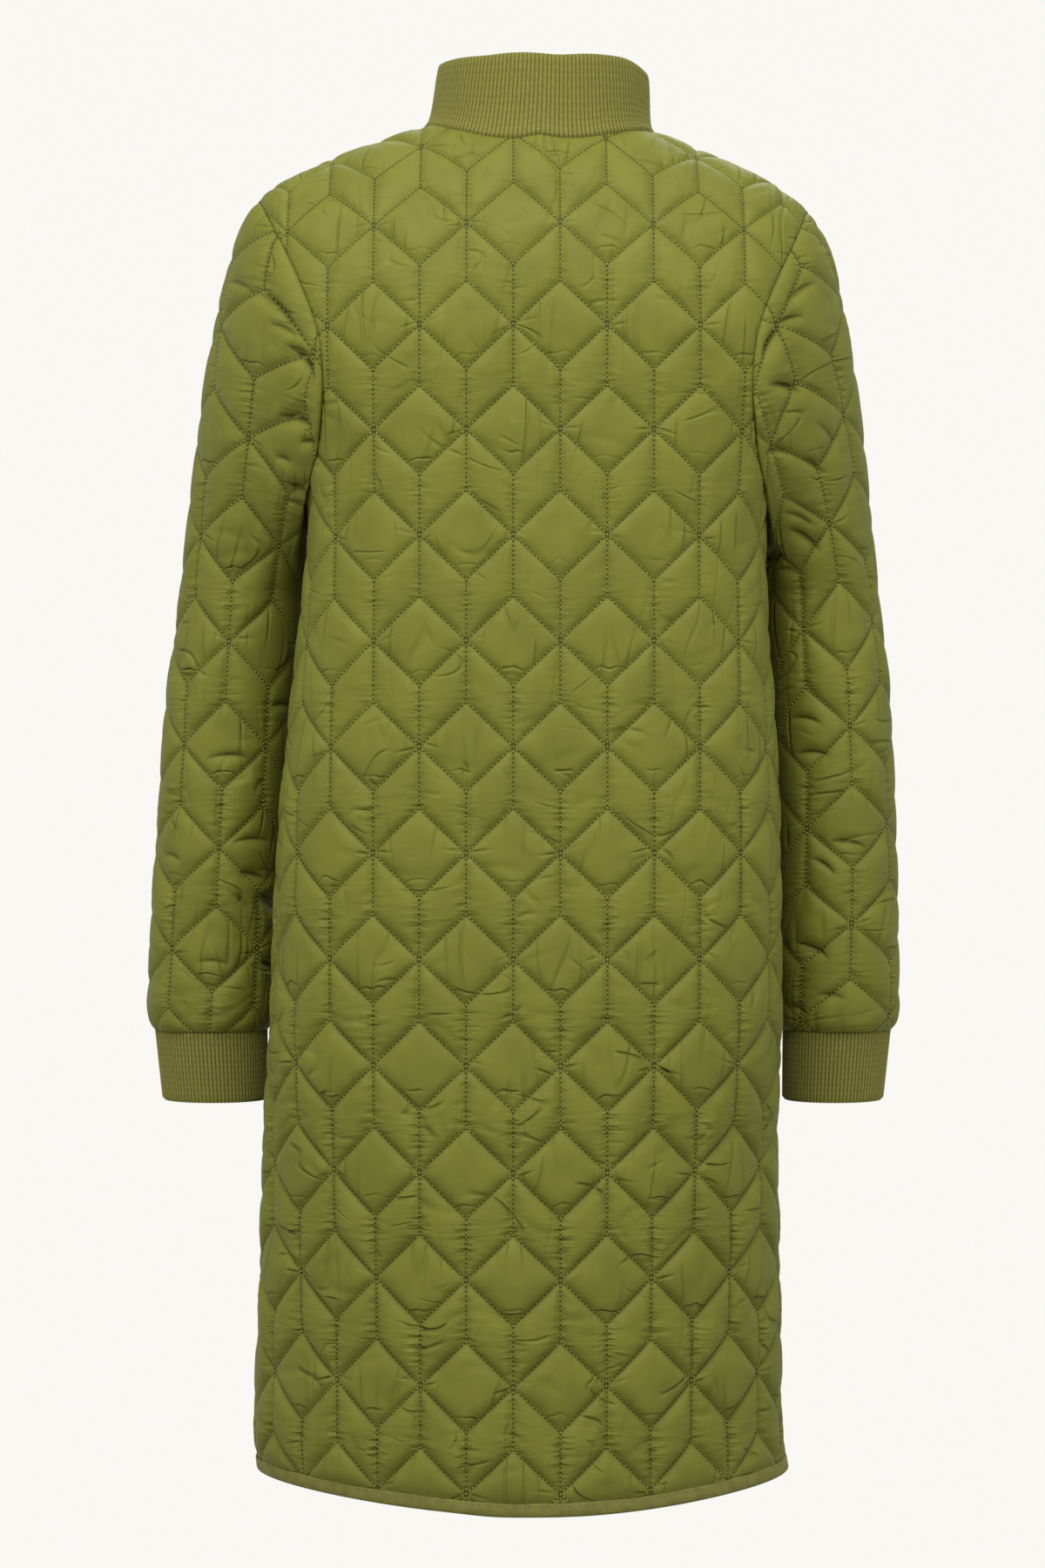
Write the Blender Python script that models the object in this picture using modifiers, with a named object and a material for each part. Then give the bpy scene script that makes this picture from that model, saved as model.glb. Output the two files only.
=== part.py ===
"""A long quilted coat with a ribbed collar and cuffs, filled out as if worn, built from its cut pieces.

Metres, +Z up. The back faces -Y, the front faces +Y, and the wearer's left is at -X. The origin lies on the
level of the side neck points, in the middle of the neck. Every quilted panel is cut flat, in u (across) and
v (along), with its stitch lines as fold lines, and is then laid on its form. The puffs between the stitch
lines are raised in the panel's outer points, over a plain inside.
"""

import math

import bpy
import bmesh
import numpy as np
from mathutils import Matrix, Vector, geometry

COAT = "quilted_coat"

# Cloth
WALL = 0.0028  # quilted cloth at its stitch lines
PUFF = 0.0055  # rise of the middle of a puff over its stitch lines
RIB_WALL = 0.0022
RIB_RISE = 0.0008
RIB_PITCH = 0.0048
SEAM_GAP = 0.0009  # between two pieces at a seam
ARMHOLE_GAP = 0.0010
ARMHOLE_TIP_GAP = 0.0020  # more at the shoulder's tip, where the two edges meet at an angle
NECK_SEAM_GAP = 0.0015  # the collar's ribs start a little off the seam
CLEARANCE = 0.0003  # between pieces that lie on each other
BINDING_HEIGHT = 0.009
BINDING_WALL = 0.001

# Quilting: tumbling blocks, in stitched repeats
REPEAT_ACROSS = 0.066
ROW_PITCH = 0.0745
DIAMOND_HALF_HEIGHT = 0.0315
COLUMN_START = -0.0107  # a column of stars on the back, from the centre back
FRONT_COLUMN = 0.0385  # a column of stars on a front, from the centre front
ROW_START = -0.9715  # the lowest row of stars
YOKE_DROP = 0.007  # the rows lie this much lower above the chest

# Torso levels
CHEST = -0.17  # below it the cloth hangs, above it each column rises in an arc to the shoulder ridge
UNDERARM = -0.265
HEM_SIDE = -0.972
HEM_BACK = -0.985
SHOULDER_SEAM_FORWARD = 0.010

# z, half_width, back_depth, front_depth, squareness of the back half, middle (lean to +X)
TORSO_SECTIONS = np.array([
    (-0.990, 0.1870, 0.128, 0.138, 2.20, -0.0070),
    (-0.950, 0.1920, 0.130, 0.140, 2.20, -0.0070),
    (-0.850, 0.1885, 0.128, 0.138, 2.30, -0.0060),
    (-0.724, 0.1845, 0.125, 0.135, 2.60, -0.0055),
    (-0.654, 0.1830, 0.122, 0.132, 3.00, -0.0015),
    (-0.540, 0.1805, 0.120, 0.130, 3.30, 0.0005),
    (-0.476, 0.1770, 0.118, 0.128, 3.40, 0.0020),
    (-0.410, 0.1720, 0.116, 0.127, 3.40, 0.0030),
    (-0.350, 0.1665, 0.114, 0.126, 3.40, 0.0045),
    (-0.285, 0.1625, 0.112, 0.125, 3.40, 0.0065),
    (-0.230, 0.1720, 0.111, 0.124, 3.40, 0.0080),
    (-0.170, 0.2020, 0.110, 0.122, 3.40, 0.0075),
])
FRONT_SQUARENESS = 2.1
# distance from the middle, height of the shoulder ridge
SHOULDER_RIDGE = np.array([
    (0.000, 0.034), (0.050, 0.016), (0.084, -0.001), (0.105, -0.009),
    (0.138, -0.021), (0.179, -0.040), (0.200, -0.056),
])
NECK_MIDDLE = 0.0085
NECK_HALF_WIDTH = 0.0835
NECK_BACK = 0.070
NECK_FRONT = 0.103
# distance from the middle, height: the armhole from the underarm up to the shoulder seam
ARMHOLE_BACK = np.array([
    (0.1600, -0.243), (0.1535, -0.215), (0.1520, -0.185), (0.1560, -0.155), (0.1680, -0.122),
    (0.1830, -0.090),
])
ARMHOLE_FRONT = np.array([
    (0.1560, -0.243), (0.1480, -0.215), (0.1450, -0.185), (0.1490, -0.155), (0.1640, -0.122),
    (0.1820, -0.090),
])
SHOULDER_TIP = 0.199

# Sleeves
SLEEVE_Y = 0.045
SLEEVE_CLEAR = 0.003  # from the widest line of the torso to the sleeve's inner edge
CAP_END = -0.340  # below it the sleeve is a plain tube
# z, outer edge from the middle, half_depth, drawn in all round, lean to +X
SLEEVE_SECTIONS = np.array([
    (-0.340, 0.2570, 0.060, 0.000, 0.0010),
    (-0.400, 0.2650, 0.058, 0.000, 0.0005),
    (-0.476, 0.2700, 0.056, 0.000, -0.0005),
    (-0.552, 0.2739, 0.053, 0.000, -0.0020),
    (-0.640, 0.2765, 0.050, 0.000, -0.0035),
    (-0.652, 0.2765, 0.050, 0.0025, -0.0035),
    (-0.6575, 0.2765, 0.050, 0.0080, -0.0035),
])
SLEEVE_ROUND = 0.325  # the cut width of a sleeve
# How the pattern lies on each sleeve. u: start, spread, lean, narrowing towards the cap, bend. v: start, tilt,
# stretch, fanning, growth towards the cap. Each is a share of 1, x, y, xy and yy in the pattern.
SLEEVE_LAY = {
    -1: np.array([(0.0772, 1.14, -0.011, -0.32, 0.19), (0.0624, -0.006, 0.986, 0.21, 0.076)]),
    1: np.array([(0.0871, 1.35, 0.044, -0.96, -0.06), (0.0109, 0.040, 0.930, 0.21, 0.119)]),
}
CUFF_END = -0.709
CUFF_DRAWN_IN = 0.0095

# Collar
COLLAR_TOP_BACK = 0.0465
COLLAR_TOP_FRONT = -0.012
COLLAR_TOP_HALF_WIDTH = 0.0745
COLLAR_TOP_BACK_DEPTH = 0.062
COLLAR_TOP_FRONT_DEPTH = 0.076
COLLAR_TOP_MIDDLE = 0.0115

# Zip
FRONT_EDGE = 0.0055  # from the centre front to a front's edge
TAPE_INNER = 0.0008
TAPE_OUTER = 0.0110
TAPE_WALL = 0.0009
TAPE_CLEARANCE = 0.0019  # under the front's inner side
CHAIN_HALF_WIDTH = 0.0026
ZIP_START = 0.012  # above the hem
SLIDER_LENGTH = 0.013
SLIDER_HALF_WIDTH = 0.0044
SLIDER_FROM_TOP = 0.003
SLIDER_RISE = 0.0016  # over the cloth
PIN_RISE = 0.0012  # the pull's axis over the slider
ARCH_HALF_LENGTH = 0.0040
ARCH_RISE = 0.0031
ARCH_RADIUS = 0.0007
PULL_LENGTH = 0.030
PULL_HALF_WIDTH = 0.0035
PULL_THICKNESS = 0.0012
PULL_BAR = 0.0014
PULL_WINDOW_HALF_WIDTH = 0.0017
PULL_WINDOW_LENGTH = 0.0058


def srgb(code):
    """The linear colour of a hex code."""
    values = [int(code[i:i + 2], 16) / 255 for i in (0, 2, 4)]
    return [v / 12.92 if v <= 0.04045 else ((v + 0.055) / 1.055) ** 2.4 for v in values] + [1.0]


def material(name, code, roughness, metallic=0.0):
    made = bpy.data.materials.new(name)
    made.use_nodes = True
    shader = made.node_tree.nodes["Principled BSDF"]
    shader.inputs["Base Color"].default_value = srgb(code)
    shader.inputs["Roughness"].default_value = roughness
    shader.inputs["Metallic"].default_value = metallic
    return made


def add_mesh(name, points, faces, finish, collection):
    """A named object from points and faces, with its faces turned outwards."""
    mesh = bpy.data.meshes.new(name)
    mesh.from_pydata([tuple(map(float, p)) for p in points], [], [tuple(map(int, f)) for f in faces])
    work = bmesh.new()
    work.from_mesh(mesh)
    bmesh.ops.recalc_face_normals(work, faces=work.faces)
    work.to_mesh(mesh)
    work.free()
    mesh.materials.append(finish)
    made = bpy.data.objects.new(name, mesh)
    collection.objects.link(made)
    return made


def smooth_step(x, low, high):
    t = np.clip((x - low) / (high - low), 0, 1)
    return t * t * (3 - 2 * t)


def smooth_curve(points, count):
    """Evenly spaced points on a Catmull-Rom curve through the given ones."""
    points = np.asarray(points, float)
    ends = np.vstack([2 * points[0] - points[1], points, 2 * points[-1] - points[-2]])
    t = np.linspace(0, 1, 12, endpoint=False)[:, None]
    pieces = []
    for a, b, c, d in zip(ends, ends[1:], ends[2:], ends[3:]):
        pieces.append(0.5 * (2 * b + (c - a) * t + (2 * a - 5 * b + 4 * c - d) * t**2
                             + (3 * b - a - 3 * c + d) * t**3))
    return spaced(np.vstack(pieces + [points[-1:]]), count)


def spaced(points, count):
    """The same line with its points at equal distances."""
    steps = np.linalg.norm(np.diff(points, axis=0), axis=1)
    run = np.concatenate([[0], np.cumsum(steps)])
    wanted = np.linspace(0, run[-1], count)
    return np.stack([np.interp(wanted, run, points[:, i]) for i in range(points.shape[1])], axis=1)


class Cloth:
    """A form that cloth lies on: columns at equal steps of u, each with its points at rising v."""

    def __init__(self, u, v, points, outward):
        self.u, self.v, self.points, self.outward = u, v, points, outward

    def column_points(self, column, v):
        heights = self.v[column]
        row = np.clip((heights <= v[:, None]).sum(axis=1) - 1, 0, heights.shape[1] - 2)
        pick = np.arange(len(v))
        low, high = heights[pick, row], heights[pick, row + 1]
        share = ((v - low) / (high - low))[:, None]
        return (1 - share) * self.points[column, row] + share * self.points[column, row + 1]

    def at(self, u, v):
        u, v = np.atleast_1d(u).astype(float), np.atleast_1d(v).astype(float)
        place = np.clip((u - self.u[0]) / (self.u[1] - self.u[0]), 0, len(self.u) - 1.0001)
        column = place.astype(int)
        share = (place - column)[:, None]
        return (1 - share) * self.column_points(column, v) + share * self.column_points(column + 1, v)

    def normal(self, u, v, reach=0.004):
        u, v = np.atleast_1d(u).astype(float), np.atleast_1d(v).astype(float)
        across = self.at(u + reach, v) - self.at(u - reach, v)
        along = self.at(u, v + reach) - self.at(u, v - reach)
        normal = np.cross(across, along) * self.outward
        return normal / np.linalg.norm(normal, axis=1, keepdims=True)

    def offset(self, u, v, rise):
        """The point that lies off the form by rise."""
        return self.at(u, v) + self.normal(u, v) * np.broadcast_to(rise, np.shape(np.atleast_1d(u)))[:, None]


def body_quilting(column_start):
    """The pattern of a body panel. Its rows lie a little lower above the chest."""
    def lay(x, y):
        v = ROW_START + y
        return np.stack([column_start + x, v - YOKE_DROP * smooth_step(v, -0.26, -0.16)], axis=1)

    return Quilting(lay, range(-1, 15), range(-10, 11))


def sleeve_quilting(sign):
    """The pattern of a sleeve, which leans and spreads as the sleeve hangs."""
    across, along = SLEEVE_LAY[sign]

    def lay(x, y):
        shares = np.stack([np.ones(len(x)), x, y, x * y, y * y], axis=1)
        return np.stack([shares @ across, shares @ along], axis=1)

    return Quilting(lay, range(-2, 9), range(-4, 10))


class Quilting:
    """Tumbling blocks: rows of stars joined by diamonds and upright lines, the rows half a repeat apart.

    lay turns a place in the pattern (across, along, from one star) into u and v of the panel.
    """

    def __init__(self, lay, rows, columns):
        self.lay, self.rows, self.columns = lay, rows, columns

    def cells(self):
        """The corners of each cell on the panel, as a list of closed outlines."""
        half, high, pitch = REPEAT_ACROSS / 2, DIAMOND_HALF_HEIGHT, ROW_PITCH
        found = []
        for row in self.rows:
            for column in self.columns:
                x, y = column * half, row * pitch
                if (row + column) % 2:
                    found.append([(x - half, y), (x, y - high), (x + half, y), (x, y + high)])
                else:
                    for side in (-1, 1):
                        found.append([(x, y), (x, y + pitch - high), (x + side * half, y + pitch),
                                      (x + side * half, y + high)])
        return [self.lay(*np.array(cell).T) for cell in found]


def inside(points, outline):
    """Whether each point lies within a closed outline."""
    x, y = points[:, 0, None], points[:, 1, None]
    a, b = outline, np.roll(outline, -1, axis=0)
    spans = (a[:, 1] > y) != (b[:, 1] > y)
    with np.errstate(divide="ignore", invalid="ignore"):
        crossing = a[:, 0] + (y - a[:, 1]) / (b[:, 1] - a[:, 1]) * (b[:, 0] - a[:, 0])
    return (spans & (x < crossing)).sum(axis=1) % 2 == 1


def distance_to(points, outline):
    """Each point's distance to a closed outline."""
    a, b = outline, np.roll(outline, -1, axis=0)
    span = b - a
    t = ((points[:, None] - a) * span).sum(-1) / np.maximum((span**2).sum(-1), 1e-12)
    nearest = a + np.clip(t, 0, 1)[..., None] * span
    return np.linalg.norm(points[:, None] - nearest, axis=-1).min(axis=1)


def triangulate(points, edges, corners):
    """Triangles that fill the outline, which is the first corners points, and keep the edges.

    Returns the flat points, the triangles, and which given points each flat point stands for.
    """
    outline = list(range(corners))
    found = geometry.delaunay_2d_cdt([Vector(p) for p in points], edges, [outline], 0, 2e-4, True)
    within = np.array([len(faces) > 0 for faces in found[5]])
    return np.array([tuple(p) for p in found[0]]), np.array(found[2])[within], found[3]


def boundary_of(triangles):
    """The points round the edge of a patch of triangles, in order."""
    ends = np.concatenate([triangles[:, [0, 1]], triangles[:, [1, 2]], triangles[:, [2, 0]]])
    present = set(map(tuple, ends))
    following = {int(a): int(b) for a, b in present if (b, a) not in present}
    loop = [next(iter(following))]
    while following[loop[-1]] != loop[0]:
        loop.append(following[loop[-1]])
    if len(loop) != len(following):
        raise ValueError("the patch has more than one edge")
    return loop


def quilted_panel(name, cloth, outline, quilting, finish, collection, hem=None, puff=None, fine=None):
    """A quilted wall on a form. hem(u) is the height of its lower edge, under the outline's lowest side.

    The slanting stitch lines get a point at half their length where fine(u) says so. The inside is plain, on the
    same triangles, so that the two sides stay apart on a bend. The hem's stations come back.
    """
    outline = np.asarray(outline)
    low, high = outline.min(axis=0), outline.max(axis=0)
    points, edges, tops = [tuple(p) for p in outline], [], []
    edges += [(i, (i + 1) % len(outline)) for i in range(len(outline))]
    index = {}

    def point(place):
        key = (round(place[0], 5), round(place[1], 5))
        if key not in index:
            index[key] = len(points)
            points.append(tuple(place))
        return index[key]

    for cell in quilting.cells():
        if (cell.max(axis=0) < low - 0.02).any() or (cell.min(axis=0) > high + 0.02).any():
            continue
        for a, b in zip(cell, np.roll(cell, -1, axis=0)):
            upright = abs(a[0] - b[0]) < 0.25 * abs(a[1] - b[1])
            split = not upright and (fine is None or fine((a + b)[0] / 2))
            stops = [a, (a + b) / 2, b] if split else [a, b]
            for start, end in zip(stops, stops[1:]):
                pair = tuple(sorted((point(start), point(end))))
                if pair not in edges:
                    edges.append(pair)
        tops.append(cell.mean(axis=0))  # the puff's highest point
    tops = np.array(tops)
    tops = tops[inside(tops, outline)]
    tops = tops[distance_to(tops, outline) > 0.006]
    first_top = len(points)
    points += [tuple(p) for p in tops]

    flat, triangles, origins = triangulate(points, edges, len(outline))
    used = np.unique(triangles)
    renumber = np.full(len(flat), -1)
    renumber[used] = np.arange(len(used))
    flat, triangles = flat[used], renumber[triangles]
    raised = np.array([any(first_top <= o for o in origins[i]) for i in used])
    rise = np.where(raised, PUFF * smooth_step(distance_to(flat, outline), 0, 0.018), 0)
    if puff is not None:
        rise = rise * puff(flat[:, 0], flat[:, 1])
    loop = boundary_of(triangles)

    stations = []
    if hem is not None:
        heights = hem(flat[:, 0]) + BINDING_HEIGHT
        on_hem = {p for p in loop if abs(flat[p, 1] - heights[p]) < 8e-4}
        start = next(i for i, p in enumerate(loop) if p in on_hem and loop[i - 1] not in on_hem)
        loop = loop[start:] + loop[:start]
        upper = loop[:len(on_hem)]
        flat[upper, 1] = heights[upper]
        stations = flat[upper, 0]
        lower = {p: len(flat) + i for i, p in enumerate(upper)}
        for a, b in zip(upper, upper[1:]):
            triangles = np.vstack([triangles, [(b, a, lower[a]), (b, lower[a], lower[b])]])
        flat = np.vstack([flat, np.stack([stations, hem(stations)], axis=1)])
        rise = np.concatenate([rise, np.zeros(len(stations))])
        loop = [upper[0]] + [lower[p] for p in upper] + loop[len(upper) - 1:]

    outer = cloth.offset(flat[:, 0], flat[:, 1], rise)
    inner = cloth.offset(flat[:, 0], flat[:, 1], -WALL)
    count = len(outer)
    faces = [tuple(t) for t in triangles] + [tuple(t[::-1] + count) for t in triangles]
    for a, b in zip(loop, loop[1:] + loop[:1]):
        faces += [(b, a, count + a), (b, count + a, count + b)]
    add_mesh(name, np.vstack([outer, inner]), faces, finish, collection)
    return stations


class Torso:
    """The form of the coat's body."""

    COLUMN_STEP = 0.004
    ROW_STEP = 0.006
    SIDE = 0.30  # reach of the columns either way
    ARC = math.radians(112)  # each column's arc, past the ridge

    def size(self, z, column):
        table = TORSO_SECTIONS
        return np.interp(z, table[:, 0], table[:, column])

    def ridge(self, x):
        distance = np.abs(x - NECK_MIDDLE)
        table = SHOULDER_RIDGE
        slope = (table[-1, 1] - table[-2, 1]) / (table[-1, 0] - table[-2, 0])
        beyond = np.maximum(distance - table[-1, 0], 0)
        return np.interp(distance, table[:, 0], table[:, 1]) + slope * beyond

    def half_section(self, z, face):
        """The back (face -1) or front (+1) half of the level section: run, x, y from the -X side to the +X side."""
        t = np.linspace(-math.pi / 2, math.pi / 2, 901)
        power = 2 / (self.size(z, 4) if face < 0 else FRONT_SQUARENESS)
        depth = self.size(z, 2 if face < 0 else 3)
        x = self.size(z, 5) + self.size(z, 1) * np.sign(np.sin(t)) * np.abs(np.sin(t)) ** power
        y = face * depth * np.abs(np.cos(t)) ** power
        run = np.concatenate([[0], np.cumsum(np.hypot(np.diff(x), np.diff(y)))])
        return run, x, y

    def middle(self, z, face):
        """The x from which u is measured: the back's columns hang straight, the front's follow its zip."""
        return 0.0 if face < 0 else self.size(z, 5)

    def level(self, z, face, u):
        run, x, y = self.half_section(z, face)
        start = np.interp(self.middle(z, face), x, run)
        return np.interp(u + start, run, x), np.interp(u + start, run, y)

    def side(self, z, face, sign):
        """u of the side seam at a level."""
        run, x, _ = self.half_section(z, face)
        start = np.interp(self.middle(z, face), x, run)
        return (run[-1] if sign > 0 else 0.0) - start

    def cloth(self, face):
        """The back's or the front's form. Above the chest each column is an arc up to the ridge and over it."""
        u = np.arange(-self.SIDE, self.SIDE + 1e-9, self.COLUMN_STEP)
        hanging = np.linspace(TORSO_SECTIONS[0, 0] - 0.01, CHEST, 70)
        arc = np.linspace(0, self.ARC, 70)[1:]
        lower = np.stack([np.column_stack([*self.level(z, face, u), np.full(len(u), z)]) for z in hanging],
                         axis=1)
        x, y = self.level(CHEST, face, u)
        opposite = self.depth_at(x, -face)
        rise = np.maximum(self.ridge(x) - CHEST, 0.02)
        depth = np.where(arc[None, :] < math.pi / 2, np.abs(y)[:, None], opposite[:, None])
        upper = np.stack([np.broadcast_to(x[:, None], depth.shape), face * depth * np.cos(arc),
                          CHEST + rise[:, None] * np.sin(arc)], axis=-1)
        points = np.concatenate([lower, upper], axis=1)
        steps = np.linalg.norm(np.diff(points[:, len(hanging) - 1:], axis=1), axis=2)
        v = np.concatenate([np.broadcast_to(hanging, (len(u), len(hanging))),
                            CHEST + np.cumsum(steps, axis=1)], axis=1)
        return Cloth(u, v, points, 1 if face < 0 else -1)

    def depth_at(self, x, face):
        _, xs, ys = self.half_section(CHEST, face)
        return np.abs(np.interp(x, xs, ys))

    def place(self, cloth, face, x, z=None, y=None):
        """(u, v) of the point of a form at x and either a height or a depth from the middle plane."""
        if z is not None and z < CHEST:
            run, xs, _ = self.half_section(z, face)
            return np.interp(x, xs, run) - np.interp(self.middle(z, face), xs, run), z
        run, xs, _ = self.half_section(CHEST, face)
        u = np.interp(x, xs, run) - np.interp(self.middle(CHEST, face), xs, run)
        if y is None:
            angle = math.asin(min(1.0, (z - CHEST) / max(self.ridge(x) - CHEST, 1e-6)))
        else:
            angle = math.acos(np.clip(y * face / self.depth_at(x, face if y * face > 0 else -face), -1, 1))
        place = (u - cloth.u[0]) / self.COLUMN_STEP
        column, share = int(place), place - int(place)
        run = (1 - share) * cloth.v[column, -70:] + share * cloth.v[column + 1, -70:]
        return u, np.interp(angle, np.linspace(0, self.ARC, 70), run)


def hem_height(u):
    """The hem dips a little to the centre back and front."""
    return HEM_SIDE + (HEM_BACK - HEM_SIDE) * (1 - smooth_step(np.abs(u), 0.02, 0.26))


def neck_points(torso, cloth, face, signs, count):
    """Points (u, v) along the neck's edge on one form, from one side to the other."""
    depth = NECK_BACK if face < 0 else NECK_FRONT
    angles = np.linspace(signs[0] * math.pi / 2, signs[1] * math.pi / 2, count)
    places = []
    for angle in angles:
        x = NECK_MIDDLE + NECK_HALF_WIDTH * math.sin(angle)
        y = face * depth * abs(math.cos(angle)) + SHOULDER_SEAM_FORWARD * math.sin(angle) ** 6
        places.append(torso.place(cloth, face, x, y=y))
    return np.array(places)


def armhole_points(torso, cloth, face, sign, count):
    """Points (u, v) along one armhole on one form, from the underarm to the shoulder seam."""
    table = ARMHOLE_BACK if face < 0 else ARMHOLE_FRONT
    lean = torso.size(UNDERARM, 5)
    places = [(torso.side(UNDERARM, face, sign), UNDERARM)]
    places += [torso.place(cloth, face, lean + sign * x, z=z) for x, z in table]
    places.append(torso.place(cloth, face, lean + sign * SHOULDER_TIP, y=SHOULDER_SEAM_FORWARD))
    return smooth_curve(places, count)


ARMHOLE_STATIONS = 22
SIDE_STATIONS = 26
SHOULDER_STATIONS = 9
HEM_STATIONS = 20


def side_points(torso, face, sign, gap):
    """Points (u, v) down a side seam, from just under the armhole to the binding's top."""
    levels = np.linspace(UNDERARM, HEM_SIDE + BINDING_HEIGHT, SIDE_STATIONS)
    return np.array([(torso.side(z, face, sign) - sign * gap, z) for z in levels])


def shoulder_points(torso, cloth, face, sign, gap):
    """Points (u, v) along a shoulder seam, from the neck out to the armhole."""
    start = NECK_MIDDLE + sign * NECK_HALF_WIDTH
    end = torso.size(UNDERARM, 5) + sign * SHOULDER_TIP
    places = [torso.place(cloth, face, x, y=SHOULDER_SEAM_FORWARD)
              for x in np.linspace(start, end, SHOULDER_STATIONS)]
    return np.array(places) - (0, gap)


def hem_points(start, end):
    u = np.linspace(start, end, HEM_STATIONS)
    return np.stack([u, hem_height(u) + BINDING_HEIGHT], axis=1)


def back_outline(torso, cloth):
    gap = SEAM_GAP / 2
    left_side, right_side = side_points(torso, -1, -1, gap), side_points(torso, -1, 1, gap)
    hem = hem_points(left_side[-1, 0], right_side[-1, 0])
    left_side[-1], right_side[-1] = hem[0], hem[-1]
    return np.vstack([
        left_side[:-1], hem, right_side[::-1][1:-1], armhole_points(torso, cloth, -1, 1, ARMHOLE_STATIONS),
        shoulder_points(torso, cloth, -1, 1, gap)[::-1][1:], neck_points(torso, cloth, -1, (1, -1), 15)[1:-1],
        shoulder_points(torso, cloth, -1, -1, gap)[:-1],
        armhole_points(torso, cloth, -1, -1, ARMHOLE_STATIONS)[::-1][:-1],
    ])


def front_outline(torso, cloth, sign):
    gap = SEAM_GAP / 2
    side = side_points(torso, 1, sign, gap)
    hem = hem_points(side[-1, 0], sign * FRONT_EDGE)[::2]
    hem[-1] = (sign * FRONT_EDGE, hem_height(FRONT_EDGE) + BINDING_HEIGHT)
    neck = neck_points(torso, cloth, 1, (0, sign), 11)
    neck[0] = (sign * FRONT_EDGE, neck[0, 1])
    edge = np.linspace(hem[-1, 1], neck[0, 1], 24)[1:-1]
    outline = np.vstack([
        side[:-1], hem, np.column_stack([np.full(len(edge), sign * FRONT_EDGE), edge]), neck[:-1],
        shoulder_points(torso, cloth, 1, sign, gap),
        armhole_points(torso, cloth, 1, sign, ARMHOLE_STATIONS)[::-1][1:-1],
    ])
    return outline if sign < 0 else outline[::-1]


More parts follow.
